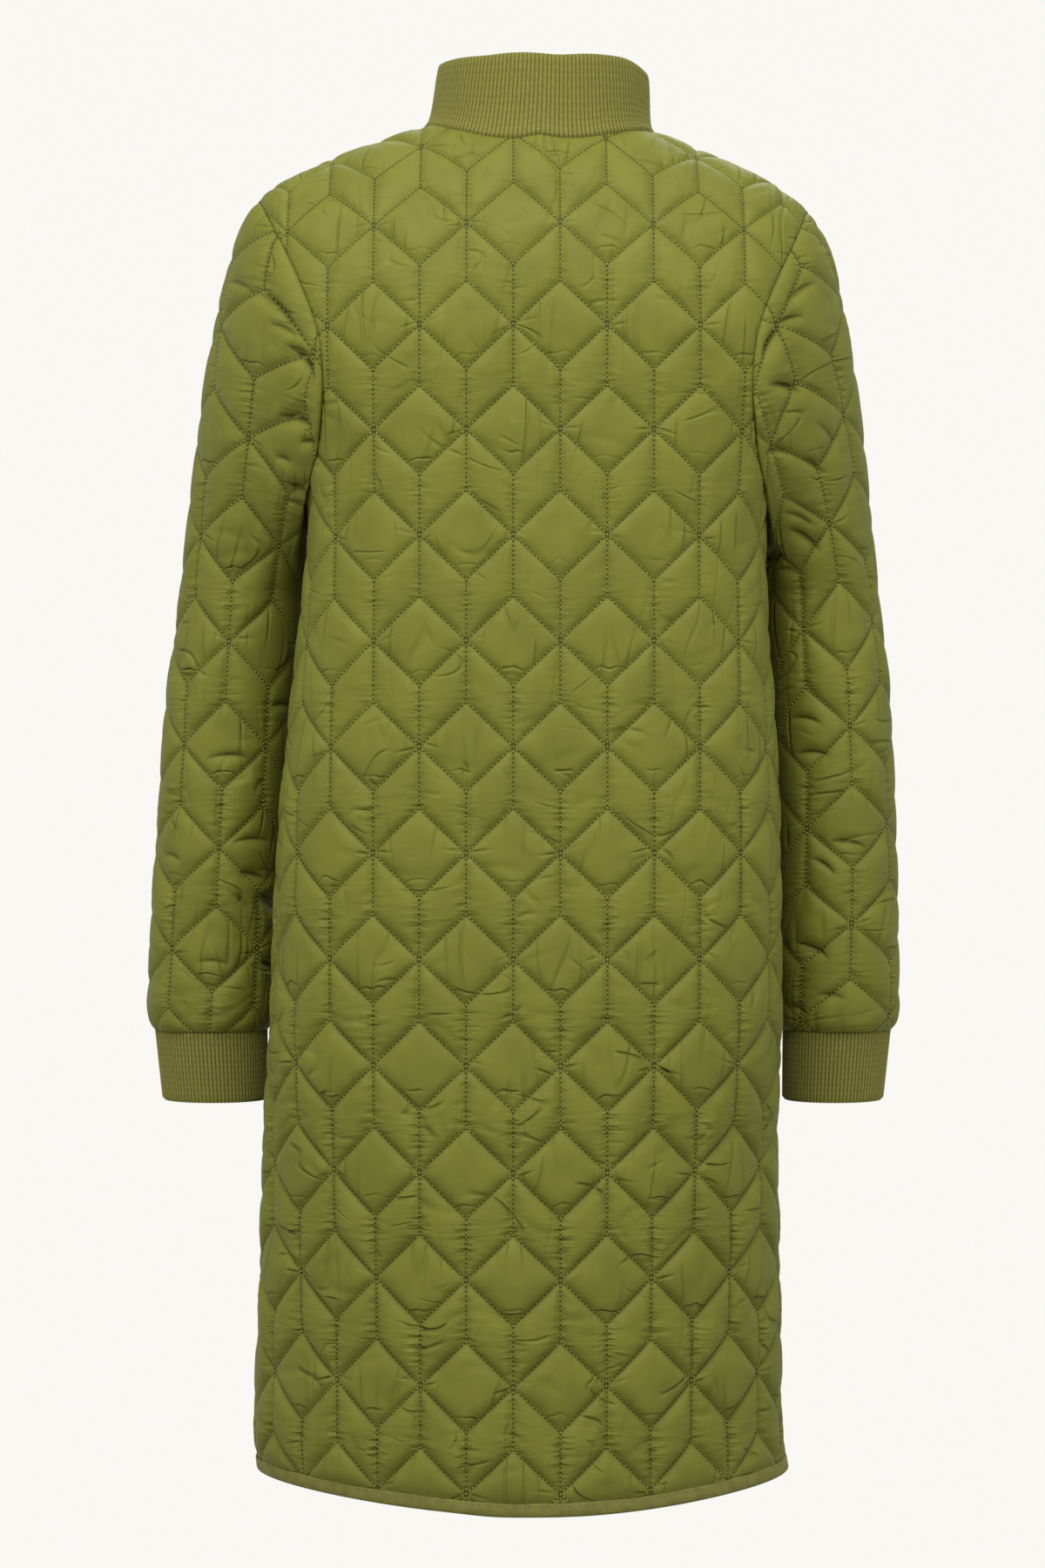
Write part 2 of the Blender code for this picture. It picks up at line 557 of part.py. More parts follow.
class Sleeve:
    """The form of one sleeve and its cuff. Columns run down it, from the underarm seam round by the back."""

    COLUMNS = 131

    def __init__(self, torso, clothes, sign):
        self.torso, self.sign = torso, sign
        back = armhole_points(torso, clothes[-1], -1, sign, ARMHOLE_STATIONS)
        front = armhole_points(torso, clothes[1], 1, sign, ARMHOLE_STATIONS)[::-1]
        rims = [clothes[-1].at(back[:, 0], back[:, 1]), clothes[1].at(front[:, 0], front[:, 1])]
        self.rim_turns, self.rim = [], []
        for half, rim in enumerate(rims):
            run = np.concatenate([[0], np.cumsum(np.linalg.norm(np.diff(rim, axis=0), axis=1))])
            self.rim_turns.append(0.5 * half + 0.5 * run / run[-1])
            self.rim.append(rim)
        self.turns = np.concatenate([self.rim_turns[0], self.rim_turns[1][1:]])
        self.rim = np.vstack([rims[0], rims[1][1:]])
        self.turn_grid = np.linspace(0, 1, self.COLUMNS)
        self.form = self.make_form()

    def ring(self, z, extra=0.0):
        """The level section of the sleeve as a function of the turn: 0 inner, 0.25 back, 0.5 outer, 0.75 front."""
        table = SLEEVE_SECTIONS[::-1]
        outer, half_depth, drawn, lean = (np.interp(z, table[:, 0], table[:, i]) for i in (1, 2, 3, 4))
        outer = self.sign * outer + lean
        inner = self.torso.size(z, 5) + self.sign * (self.torso.size(z, 1) + SLEEVE_CLEAR)
        middle, half = (outer + inner) / 2, abs(outer - inner) / 2
        half, half_depth = half - drawn - extra, half_depth - drawn - extra
        angle = 2 * math.pi * self.turn_grid
        return np.stack([middle - self.sign * half * np.cos(angle), SLEEVE_Y - half_depth * np.sin(angle),
                         np.full(self.COLUMNS, z)], axis=1)

    def make_form(self):
        rim = np.stack([np.interp(self.turn_grid, self.turns, self.rim[:, i]) for i in range(3)], axis=1)
        levels = np.concatenate([np.linspace(CAP_END, -0.640, 60),
                                 np.linspace(-0.643, SLEEVE_SECTIONS[-1, 0], 8)])
        tube = np.stack([self.ring(z) for z in levels], axis=1)
        start, end = rim, tube[:, 0]
        down = tube[:, 3] - tube[:, 0]
        down /= np.linalg.norm(down, axis=1, keepdims=True)
        top = np.sin(math.pi * self.turn_grid)[:, None] ** 2  # 1 at the shoulder, 0 at the underarm
        out = top * np.array([self.sign * 0.66, 0, -0.75]) + (1 - top) * np.array([self.sign * 0.7, 0, -1.0])
        out /= np.linalg.norm(out, axis=1, keepdims=True)
        reach = np.linalg.norm(end - start, axis=1)[:, None, None] * 0.55
        s = np.linspace(0, 1, 60, endpoint=False)[None, :, None]
        cap = ((2 * s**3 - 3 * s**2 + 1) * start[:, None] + (s**3 - 2 * s**2 + s) * out[:, None] * reach
               + (3 * s**2 - 2 * s**3) * end[:, None] + (s**3 - s**2) * down[:, None] * reach)
        points = np.concatenate([cap, tube], axis=1)[:, ::-1]
        steps = np.linalg.norm(np.diff(points, axis=1), axis=2)
        v = np.concatenate([np.zeros((self.COLUMNS, 1)), np.cumsum(steps, axis=1)], axis=1)
        return Cloth(self.turn_grid * SLEEVE_ROUND, v, points, self.sign)

    def outline(self):
        """The flat sleeve: straight hem and underarm edges, and the cap's curve."""
        seam = SEAM_GAP / 2
        turns = np.concatenate([[seam / SLEEVE_ROUND], self.turns[1:-1], [1 - seam / SLEEVE_ROUND]])
        lift = ARMHOLE_GAP + ARMHOLE_TIP_GAP * np.exp(-(((turns - 0.53) / 0.05) ** 2))
        top = np.interp(turns, self.turn_grid, self.form.v[:, -1]) - lift
        cap = np.column_stack([turns * SLEEVE_ROUND, top])
        hem = np.linspace(cap[0, 0], cap[-1, 0], 23)
        side = np.linspace(0, top[0], 20)
        return np.vstack([
            np.column_stack([hem, np.zeros(23)]), np.column_stack([np.full(18, cap[-1, 0]), side[1:-1]]),
            cap[::-1], np.column_stack([np.full(18, cap[0, 0]), side[1:-1][::-1]]),
        ])

    def puff(self, u, v):
        """Puffs are pressed flatter on the inner side, which lies against the body."""
        return 0.3 + 0.7 * smooth_step(np.minimum(u, SLEEVE_ROUND - u), 0.03, 0.075)


def rib_count(points):
    length = np.linalg.norm(np.diff(points, axis=0), axis=1).sum()
    return int(round(length / RIB_PITCH / 2)) * 2


def ribbed_wall(name, rows, closed, outward, finish, collection):
    """A ribbed wall through rows of points, each row a line of the outside with the same number of points.

    Each even point is a valley and each odd one a ridge. The inside is plain and has every fourth point.
    """
    rows = np.asarray(rows)
    levels, count = rows.shape[:2]
    if closed:
        across = np.roll(rows, -1, axis=1) - np.roll(rows, 1, axis=1)
    else:
        across = np.gradient(rows, axis=1)
    along = np.gradient(rows, axis=0)
    normal = np.cross(across, along) * outward
    normal /= np.linalg.norm(normal, axis=2, keepdims=True)
    outer = rows + normal * (RIB_RISE * (np.arange(count) % 2))[None, :, None]
    kept = np.arange(0, count, 4) if closed else np.append(np.arange(0, count - 1, 4), count - 1)
    inner = (rows - normal * RIB_WALL)[:, kept]
    points = np.vstack([outer.reshape(-1, 3), inner.reshape(-1, 3)])
    inside_start, few = levels * count, len(kept)

    def out(level, i):
        return level * count + i % count

    def back(level, i):
        return inside_start + level * few + i % few

    faces = []
    for level in range(levels - 1):
        for i in range(count if closed else count - 1):
            faces.append((out(level, i), out(level, i + 1), out(level + 1, i + 1), out(level + 1, i)))
        for i in range(few if closed else few - 1):
            faces.append((back(level, i + 1), back(level, i), back(level + 1, i), back(level + 1, i + 1)))
        if not closed:
            faces.append((out(level, 0), out(level + 1, 0), back(level + 1, 0), back(level, 0)))
            last = count - 1
            faces.append((out(level + 1, last), out(level, last),
                          back(level, few - 1), back(level + 1, few - 1)))
    for level in (0, levels - 1):
        for i in range(few if closed else few - 1):
            stop = kept[i + 1] if i + 1 < few else count
            rim = [out(level, j) for j in range(kept[i], stop + 1)]
            ends = [(rim[k], rim[k + 1], back(level, i)) for k in range(len(rim) - 1)]
            ends.append((rim[-1], back(level, i + 1), back(level, i)))
            faces += [face[::-1] for face in ends] if level == 0 else ends
    return add_mesh(name, points, faces, finish, collection)


def resampled(line, count, closed=False):
    line = np.vstack([line, line[:1]]) if closed else line
    points = spaced(line, count + 1 if closed else count)
    return points[:-1] if closed else points


def make_cuff(name, sleeve, finish, collection):
    """A ribbed tube below the sleeve's hem, with its top edge just under the sleeve's."""
    end = SLEEVE_SECTIONS[-1, 0]
    top = sleeve.ring(end)[:-1]
    count = rib_count(np.vstack([top, top[:1]])) * 2
    drawn = [0.0, 0.0015, CUFF_DRAWN_IN - 0.0072]
    levels = [end - SEAM_GAP, end - 0.006, CUFF_END]
    rows = []
    for z, extra in zip(levels, drawn):
        ring = sleeve.ring(end, extra)[:-1].copy()
        ring[:, 2] = z
        rows.append(resampled(ring, count, closed=True))
    return ribbed_wall(name, rows[::-1], True, sleeve.sign, finish, collection)


class Collar:
    """The form of the standing collar: from the neck's edge up to a level top, open at the centre front."""

    def __init__(self, torso, clothes):
        half = 161
        angles = np.linspace(0, 2 * math.pi, 2 * half + 1)[1:-1]  # from the centre front round by +X and the back
        self.angles = angles[(angles > 0.02) & (angles < 2 * math.pi - 0.02)]
        foot, out = [], []
        for angle in self.angles:
            face = 1 if math.cos(angle) > 0 else -1
            depth = NECK_BACK if face < 0 else NECK_FRONT
            x = NECK_MIDDLE + NECK_HALF_WIDTH * math.sin(angle)
            y = face * depth * abs(math.cos(angle)) + SHOULDER_SEAM_FORWARD * math.sin(angle) ** 6
            u, v = torso.place(clothes[face], face, x, y=y)
            place, normal = clothes[face].at(u, v)[0], clothes[face].normal(u, v)[0]
            foot.append(place)
            out.append(normal)
        self.foot, normal = np.array(foot), np.array(out)
        run = np.gradient(self.foot, axis=0)
        inward = np.cross(run, normal)
        inward /= np.linalg.norm(inward, axis=1, keepdims=True)
        centre = self.foot.mean(axis=0)
        inward *= np.sign(((centre - self.foot) * inward).sum(axis=1))[:, None]
        self.foot = self.foot + inward * NECK_SEAM_GAP
        share = (1 - np.cos(self.angles)) / 2  # 0 at the front, 1 at the back
        depth = np.where(np.cos(self.angles) > 0, COLLAR_TOP_FRONT_DEPTH, COLLAR_TOP_BACK_DEPTH)
        height = COLLAR_TOP_FRONT + (COLLAR_TOP_BACK - COLLAR_TOP_FRONT) * smooth_step(share, 0.0, 0.62)
        self.top = np.stack([COLLAR_TOP_MIDDLE + COLLAR_TOP_HALF_WIDTH * np.sin(self.angles),
                             depth * np.cos(self.angles), height], axis=1)
        reach = np.linalg.norm(self.top - self.foot, axis=1, keepdims=True)
        start, end = inward * 0.55 * reach, (self.top - self.foot) * 0.9
        s = np.linspace(0, 1, 25)[:, None, None]
        self.points = ((2 * s**3 - 3 * s**2 + 1) * self.foot + (s**3 - 2 * s**2 + s) * start
                       + (3 * s**2 - 2 * s**3) * self.top + (s**3 - s**2) * end)

    def row(self, s, count):
        """A level line of the collar, with its ends at the zip's edges."""
        line = self.points[int(round(s * 24))]
        middle = line[[0, -1], 0].mean()
        run = np.concatenate([[0], np.cumsum(np.linalg.norm(np.diff(line, axis=0), axis=1))])
        first = np.interp(middle + FRONT_EDGE, line[:40, 0], run[:40])
        last = np.interp(middle - FRONT_EDGE, line[-40:, 0], run[-40:])
        wanted = np.linspace(first, last, count)
        return np.stack([np.interp(wanted, run, line[:, i]) for i in range(3)], axis=1)

    def centre_front(self, s):
        """The middle of the collar's opening at a height share."""
        line = self.points[np.clip(np.round(np.atleast_1d(s) * 24).astype(int), 0, 24)]
        return (line[:, 0] + line[:, -1]) / 2


def make_collar(collar, finish, collection):
    count = rib_count(collar.row(0.5, 200)) * 2 + 1
    rows = [collar.row(s, count) for s in (0.0, 0.25, 1.0)]
    return ribbed_wall("collar", rows, False, 1, finish, collection)


def make_hem_binding(parts, finish, collection):
    """A tape folded round the hem. parts lists (cloth, stations) in order round the coat."""
    section = [
        (BINDING_HEIGHT, CLEARANCE + BINDING_WALL), (BINDING_HEIGHT, CLEARANCE), (-CLEARANCE, CLEARANCE),
        (-CLEARANCE, -WALL - CLEARANCE), (BINDING_HEIGHT, -WALL - CLEARANCE),
        (BINDING_HEIGHT, -WALL - CLEARANCE - BINDING_WALL),
        (-CLEARANCE - BINDING_WALL, -WALL - CLEARANCE - BINDING_WALL),
        (-CLEARANCE - BINDING_WALL, CLEARANCE + BINDING_WALL),
    ]
    rings = []
    for cloth, stations in parts:
        lines = [cloth.offset(stations, hem_height(stations) + rise, off) for rise, off in section]
        rings.append(np.stack(lines, axis=1))
    rings = np.vstack(rings)
    size = len(section)
    faces = []
    for i in range(len(rings) - 1):
        for k in range(size):
            a, b = i * size + k, i * size + (k + 1) % size
            faces.append((a, b, b + size, a + size))
    for start, turn in ((0, 1), ((len(rings) - 1) * size, -1)):
        for quad in ((0, 1, 2, 7), (2, 3, 6, 7), (3, 4, 5, 6)):
            faces.append(tuple(start + k for k in quad)[::-turn])
    return add_mesh("hem_binding", rings.reshape(-1, 3), faces, finish, collection)


def zip_line(cloth, collar):
    """The centre front: middle points, outward and sideways directions, from above the hem to the collar's top."""
    neck_v = cloth.v[len(cloth.u) // 2]
    heights = cloth.points[len(cloth.u) // 2, :, 2]
    neck_z = collar.foot[[0, -1], 2].mean()
    top_v = np.interp(neck_z, heights, neck_v)
    v = np.arange(hem_height(0.0) + ZIP_START, top_v - 0.006, 0.042)
    lower = cloth.at(np.zeros(len(v)), v)
    upper = collar.centre_front(np.array([0.25, 0.5, 0.75, 1.0]))
    line = np.vstack([lower, upper])
    line = smooth_curve(line, len(line))
    along = np.gradient(line, axis=0)
    along /= np.linalg.norm(along, axis=1, keepdims=True)
    aside = np.array([1.0, 0.0, 0.0])
    out = np.cross(aside, along)
    out *= np.sign(out[:, 1])[:, None]
    return line, along, out / np.linalg.norm(out, axis=1, keepdims=True)


def strip_along(name, line, out, sides, depths, finish, collection):
    """A flat bar along a line: sides are its two edges in X from the line, depths its back and front."""
    corners = [(sides[0], depths[0]), (sides[1], depths[0]), (sides[1], depths[1]), (sides[0], depths[1])]
    rings = np.stack([line + np.array([x, 0, 0]) + out * depth for x, depth in corners], axis=1)
    faces = []
    for i in range(len(rings) - 1):
        faces += [(4 * i + k, 4 * i + (k + 1) % 4, 4 * i + 4 + (k + 1) % 4, 4 * i + 4 + k) for k in range(4)]
    last = 4 * (len(rings) - 1)
    faces += [(3, 2, 1, 0), (last, last + 1, last + 2, last + 3)]
    return add_mesh(name, rings.reshape(-1, 3), faces, finish, collection)


class SliderFrame:
    """The place of the zip's slider: its middle on the cloth, and its up and outward directions."""

    def __init__(self, line, along, out):
        run = np.concatenate([[0], np.cumsum(np.linalg.norm(np.diff(line, axis=0), axis=1))])
        place = run[-1] - SLIDER_FROM_TOP - SLIDER_LENGTH / 2
        self.middle = Vector([np.interp(place, run, line[:, i]) for i in range(3)])
        self.up = Vector([np.interp(place, run, along[:, i]) for i in range(3)]).normalized()
        self.out = Vector((1, 0, 0)).cross(self.up)
        if self.out.y < 0:
            self.out.negate()
        self.run, self.below = run, place - SLIDER_LENGTH / 2 - CLEARANCE

    def up_to_slider(self, values):
        """The line's values, which are one row a point, cut off just below the slider."""
        end = [np.interp(self.below, self.run, values[:, i]) for i in range(3)]
        return np.vstack([values[self.run < self.below - 0.004], end])

    def matrix(self):
        """Turns x across, y up the zip and z outwards into the coat's frame."""
        across = self.up.cross(self.out)
        turned = Matrix((across, self.up, self.out)).transposed().to_4x4()
        return Matrix.Translation(self.middle) @ turned


def boolean(target, tool, operation):
    cut = target.modifiers.new(operation.lower(), "BOOLEAN")
    cut.operation, cut.solver, cut.object = operation, "EXACT", tool


def as_mesh(made):
    """A curve object's evaluated shape as a mesh object with its caps joined on."""
    graph = bpy.context.evaluated_depsgraph_get()
    mesh = bpy.data.meshes.new_from_object(made.evaluated_get(graph))
    work = bmesh.new()
    work.from_mesh(mesh)
    bmesh.ops.remove_doubles(work, verts=work.verts, dist=1e-6)
    bmesh.ops.recalc_face_normals(work, faces=work.faces)
    work.to_mesh(mesh)
    work.free()
    solid = bpy.data.objects.new(made.name + "_solid", mesh)
    solid.matrix_world = made.matrix_world
    bpy.data.objects.remove(made)
    return solid


def make_slider(frame, finish, collection, tools):
    """The slider's body, with the arch that the pull hangs on."""
    back = -WALL
    bpy.ops.mesh.primitive_cube_add(size=1)
    body = bpy.context.object
    body.name = "zip_slider"
    body.data.transform(Matrix.Diagonal((2 * SLIDER_HALF_WIDTH, SLIDER_LENGTH, SLIDER_RISE - back, 1)))
    body.data.transform(Matrix.Translation((0, 0, (SLIDER_RISE + back) / 2)))
    body.data.materials.append(finish)
    for old in list(body.users_collection):
        old.objects.unlink(body)
    collection.objects.link(body)
    edge = body.modifiers.new("edge", "BEVEL")
    edge.width, edge.segments = 0.0006, 1

    curve = bpy.data.curves.new("zip_arch", "CURVE")
    curve.dimensions, curve.bevel_depth, curve.bevel_resolution, curve.use_fill_caps = "3D", ARCH_RADIUS, 1, True
    angles = np.linspace(0, math.pi, 9)
    route = [(0, -ARCH_HALF_LENGTH * math.cos(a), SLIDER_RISE + ARCH_RISE * math.sin(a)) for a in angles]
    foot = SLIDER_RISE - 0.0010
    route = [(0, -ARCH_HALF_LENGTH, foot)] + route + [(0, ARCH_HALF_LENGTH, foot)]
    spline = curve.splines.new("POLY")
    spline.points.add(len(route) - 1)
    for point, place in zip(spline.points, route):
        point.co = (*place, 1)
    made = bpy.data.objects.new("zip_arch", curve)
    tools.objects.link(made)
    bpy.context.view_layer.update()
    arch = as_mesh(made)
    arch.hide_render, arch.display_type = True, "WIRE"
    tools.objects.link(arch)
    boolean(body, arch, "UNION")
    body.matrix_world = arch.matrix_world = frame.matrix()
    return body


def make_pull(frame, finish, collection):
    """The pull: a flat tab with a window, whose top bar lies under the slider's arch and is its axis."""
    curve = bpy.data.curves.new("zip_pull", "CURVE")
    curve.dimensions, curve.fill_mode, curve.extrude = "2D", "BOTH", PULL_THICKNESS / 2
    half, bar, window = PULL_HALF_WIDTH, PULL_BAR / 2, PULL_WINDOW_HALF_WIDTH
    tip = [(half * math.cos(a), -PULL_LENGTH + half - half * math.sin(a)) for a in np.linspace(math.pi, 0, 9)]
    for outline in ([(-half, bar)] + tip + [(half, bar)],
                    [(-window, -bar), (window, -bar), (window, -PULL_WINDOW_LENGTH), (-window, -PULL_WINDOW_LENGTH)]):
        spline = curve.splines.new("POLY")
        spline.points.add(len(outline) - 1)
        spline.use_cyclic_u = True
        for point, place in zip(spline.points, outline):
            point.co = (*place, 0, 1)
    flat = bpy.data.objects.new("zip_pull", curve)
    collection.objects.link(flat)
    bpy.context.view_layer.update()
    pull = as_mesh(flat)
    pull.name = "zip_pull"
    pull.data.materials.clear()
    pull.data.materials.append(finish)
    collection.objects.link(pull)
    pull.matrix_world = frame.matrix() @ Matrix.Translation((0, 0, SLIDER_RISE + PIN_RISE))
    return pull


def main():
    for old in list(bpy.data.objects):
        bpy.data.objects.remove(old)
    collection, tools = bpy.data.collections.new(COAT), bpy.data.collections.new("tools")
    for made in (collection, tools):
        bpy.context.scene.collection.children.link(made)
    shell = material("quilted_microfibre", "85893D", 0.55)
    knit = material("rib_knit", "8A8741", 0.85)
    tape = material("binding_tape", "787532", 0.75)
    coil = material("coil_teeth", "6E6C30", 0.5)
    metal = material("painted_zinc", "6A6830", 0.4, 0.6)

    torso = Torso()
    clothes = {face: torso.cloth(face) for face in (-1, 1)}

    def on_a_bend(u):
        return abs(u) > 0.12

    rings = {"back": (clothes[-1], quilted_panel(
        "back", clothes[-1], back_outline(torso, clothes[-1]), body_quilting(COLUMN_START), shell, collection,
        hem=hem_height, fine=on_a_bend))}
    for name, sign in (("front_left", -1), ("front_right", 1)):
        rings[name] = (clothes[1], quilted_panel(
            name, clothes[1], front_outline(torso, clothes[1], sign), body_quilting(sign * FRONT_COLUMN),
            shell, collection, hem=hem_height, fine=on_a_bend))

    for side, sign in (("left", -1), ("right", 1)):
        sleeve = Sleeve(torso, clothes, sign)
        quilted_panel(f"sleeve_{side}", sleeve.form, sleeve.outline(),
                      sleeve_quilting(sign), shell, collection, puff=sleeve.puff)
        make_cuff(f"cuff_{side}", sleeve, knit, collection)

    collar = Collar(torso, clothes)
    make_collar(collar, knit, collection)
    around = []
    for name, sign in (("front_left", -1), ("back", 1), ("front_right", 1)):
        cloth, stations = rings[name]
        if name == "back":
            around.append((cloth, np.sort(stations)))
        else:
            order = np.argsort(np.abs(stations))
            around.append((cloth, stations[order] if sign < 0 else stations[order][::-1]))
    make_hem_binding(around, tape, collection)

    line, along, out = zip_line(clothes[1], collar)
    frame = SliderFrame(line, along, out)
    tape_depths = (-WALL - TAPE_CLEARANCE - TAPE_WALL, -WALL - TAPE_CLEARANCE)
    for side, sign in (("left", -1), ("right", 1)):
        strip_along(f"zip_tape_{side}", line, out, sorted((sign * TAPE_INNER, sign * TAPE_OUTER)), tape_depths,
                    tape, collection)
    strip_along("zip_chain", frame.up_to_slider(line), frame.up_to_slider(out), (-CHAIN_HALF_WIDTH, CHAIN_HALF_WIDTH),
                (CLEARANCE - WALL - TAPE_CLEARANCE, CLEARANCE), coil, collection)
    make_slider(frame, metal, collection, tools)
    make_pull(frame, metal, collection)
    tools.hide_render = True


main()
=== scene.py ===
"""The finish of a long quilted coat: quilted cloth, stitching, rib knit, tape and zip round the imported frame.

Metres, +Z up. The back faces -Y, the front faces +Y, and the wearer's left is at -X. The origin is the middle
of the neck, on the level of the side neck points. Every panel is a lattice of points in its quilting pattern,
which is laid on the same form as its solid and raised into puffs, puckers and folds.
"""

import enum
import logging
import math
from collections.abc import Callable, Sequence
from dataclasses import dataclass

import bpy
import numpy as np
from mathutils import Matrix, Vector, geometry


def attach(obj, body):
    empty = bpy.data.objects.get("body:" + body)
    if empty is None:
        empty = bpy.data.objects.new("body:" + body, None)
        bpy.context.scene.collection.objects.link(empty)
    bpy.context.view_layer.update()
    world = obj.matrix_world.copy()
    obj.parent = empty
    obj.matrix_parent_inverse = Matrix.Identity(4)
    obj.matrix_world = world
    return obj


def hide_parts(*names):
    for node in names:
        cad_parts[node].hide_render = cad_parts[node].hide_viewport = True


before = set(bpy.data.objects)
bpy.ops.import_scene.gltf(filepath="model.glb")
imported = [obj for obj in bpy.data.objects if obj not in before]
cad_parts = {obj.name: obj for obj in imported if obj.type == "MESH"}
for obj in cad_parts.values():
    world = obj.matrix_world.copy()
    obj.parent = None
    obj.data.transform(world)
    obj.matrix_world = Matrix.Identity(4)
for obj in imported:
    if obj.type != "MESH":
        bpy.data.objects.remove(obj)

Array = np.ndarray
log = logging.getLogger("coat")
MM = 0.001
ACROSS = np.array([1.0, 0.0, 0.0])

# Torso levels
CHEST = -0.17  # below it the cloth hangs, above it each column rises in an arc to the shoulder ridge
UNDERARM = -0.265
HEM_SIDE = -0.972
HEM_BACK = -0.985
SHOULDER_SEAM_FORWARD = 0.010
BINDING_HIGH = 0.0072  # from the hem up to the binding's edge
BINDING_LAP = 0.0004  # how far the binding's edge lies over the first puffs
SHOULDER_TIP = {-1: 0.2055, 1: 0.199}  # from the middle to the armhole's top, on each side
SHOULDER_LEAN = 0.0095  # how far the shoulders stand to -X of the neck
NECK_MIDDLE = 0.0085
NECK_HALF_WIDTH = 0.0835
NECK_BACK = 0.070
NECK_FRONT = 0.103
FRONT_SQUARENESS = 2.1
FRONT_EDGE = 0.0055  # from the centre front to a front's edge
RIB_PITCH = 0.003  # between the ribs of collar and cuffs
RIB_RISE = 0.0008
PER_RIB = 6  # points across a rib
LOOP_PITCH = 0.0022  # between the rows of loops up a rib

# z, half_width, back_depth, front_depth, squareness of the back half, middle (lean to +X)
TORSO_SECTIONS = np.array([
    (-0.990, 0.1935, 0.131, 0.138, 1.80, -0.0005),
    (-0.950, 0.1912, 0.132, 0.140, 1.80, -0.0077),
    (-0.850, 0.1885, 0.130, 0.138, 1.90, -0.0060),
    (-0.724, 0.1845, 0.126, 0.135, 2.30, -0.0055),
    (-0.654, 0.1830, 0.122, 0.132, 3.00, -0.0015),
    (-0.540, 0.1805, 0.120, 0.130, 3.30, 0.0005),
    (-0.476, 0.1770, 0.118, 0.128, 3.40, 0.0020),
    (-0.410, 0.1720, 0.116, 0.127, 3.40, 0.0030),
    (-0.350, 0.1665, 0.114, 0.126, 3.40, 0.0045),
    (-0.285, 0.1625, 0.112, 0.125, 3.40, 0.0065),
    (-0.230, 0.1720, 0.111, 0.124, 3.40, 0.0080),
    (-0.170, 0.2099, 0.110, 0.122, 3.40, 0.0031),
])
# distance from the middle, height of the shoulder ridge
SHOULDER_RIDGE = np.array([
    (0.000, 0.034), (0.050, 0.016), (0.084, -0.001), (0.105, -0.009),
    (0.138, -0.021), (0.179, -0.040), (0.200, -0.056),
])
# distance from the middle, height: the armhole from the underarm up to the shoulder seam
ARMHOLE_BACK = np.array([
    (0.1600, -0.243), (0.1535, -0.215), (0.1520, -0.185), (0.1560, -0.155), (0.1680, -0.122),
    (0.1830, -0.090),
])
ARMHOLE_FRONT = np.array([
    (0.1560, -0.243), (0.1480, -0.215), (0.1450, -0.185), (0.1490, -0.155), (0.1640, -0.122),
    (0.1820, -0.090),
])
# z, outer edge from the middle, half_depth, drawn in all round, lean to +X
SLEEVE_SECTIONS = np.array([
    (-0.340, 0.2570, 0.060, 0.000, 0.0010),
    (-0.400, 0.2650, 0.058, 0.000, 0.0005),
    (-0.476, 0.2700, 0.056, 0.000, -0.0005),
    (-0.552, 0.2739, 0.053, 0.000, -0.0020),
    (-0.640, 0.2765, 0.050, 0.000, -0.0035),
    (-0.652, 0.2765, 0.050, 0.0015, -0.0035),
    (-0.6575, 0.2765, 0.050, 0.0045, -0.0035),
])
# Folds seen on the back of each sleeve, from the cap down, in mm:
# x and z of one end, x and z of the other, half width, depth
SLEEVE_FOLDS = {
    -1: np.array([
        (-216, -113, -196, -125, 3, 1.3), (-196, -124, -164, -156, 3.5, 1.8),
        (-183, -149, -161, -162, 3, 1.6), (-170, -165, -150, -192, 5, 3),
        (-177, -214, -151, -225, 4.5, 2.8), (-166, -206, -151, -219, 3, 1.5),
        (-162, -233, -150, -235, 3.5, 2.2), (-180, -242, -167, -247, 3, 1.5),
        (-173, -261, -156, -270, 4.5, 2), (-177, -273, -157, -279, 3, 1.4),
        (-188, -420, -173, -418, 3, 1.6), (-234, -459, -204, -457, 3, 1.4),
        (-217, -520, -189, -518, 4, 1.6), (-211, -541, -192, -546, 4.5, 2.2),
        (-196, -555, -185, -571, 5.5, 3.4), (-218, -555, -204, -569, 3, 1.3),
        (-265, -527, -250, -533, 3, 1.2), (-197, -606, -185, -613, 3.5, 1.8),
        (-241, -606, -217, -608, 3, 1.3),
    ]),
    1: np.array([
        (184, -136, 206, -117, 3.5, 1.8), (175, -153, 196, -143, 4.5, 2.2),
        (166, -175, 180, -153, 5, 3), (168, -194, 196, -197, 4.5, 3),
        (203, -217, 220, -232, 3, 1.3), (196, -242, 213, -254, 3, 1.5),
        (168, -242, 186, -239, 3, 1.6), (182, -280, 208, -293, 3, 1.5),
        (186, -291, 211, -308, 4.5, 2.4), (170, -310, 186, -313, 5, 3.2),
        (177, -320, 196, -323, 3, 1.6), (192, -428, 215, -433, 3, 1.5),
        (197, -454, 220, -456, 4, 1.8), (220, -518, 246, -523, 4.5, 2),
        (207, -530, 224, -543, 3, 1.6), (195, -592, 220, -604, 4.5, 2.2),
        (210, -630, 232, -633, 3, 1.5), (190, -638, 204, -645, 3, 1.5),
    ]),
}
# How the pattern lies on each sleeve, as the shares of 1, x, y, xy and yy of the pattern in u and in v.
# u: start, spread, lean, narrowing towards the cap, bend
# v: start, tilt, stretch, fanning, growth towards the cap
SLEEVE_LAY = {
    -1: np.array([(0.0396, 1.14, -0.0004, -0.32, 0.19), (0.0626, -0.006, 0.9791, 0.21, 0.076)]),
    1: np.array([(0.0425, 1.35, 0.0757, -0.96, -0.06), (0.0096, 0.04, 0.9231, 0.21, 0.119)]),
}


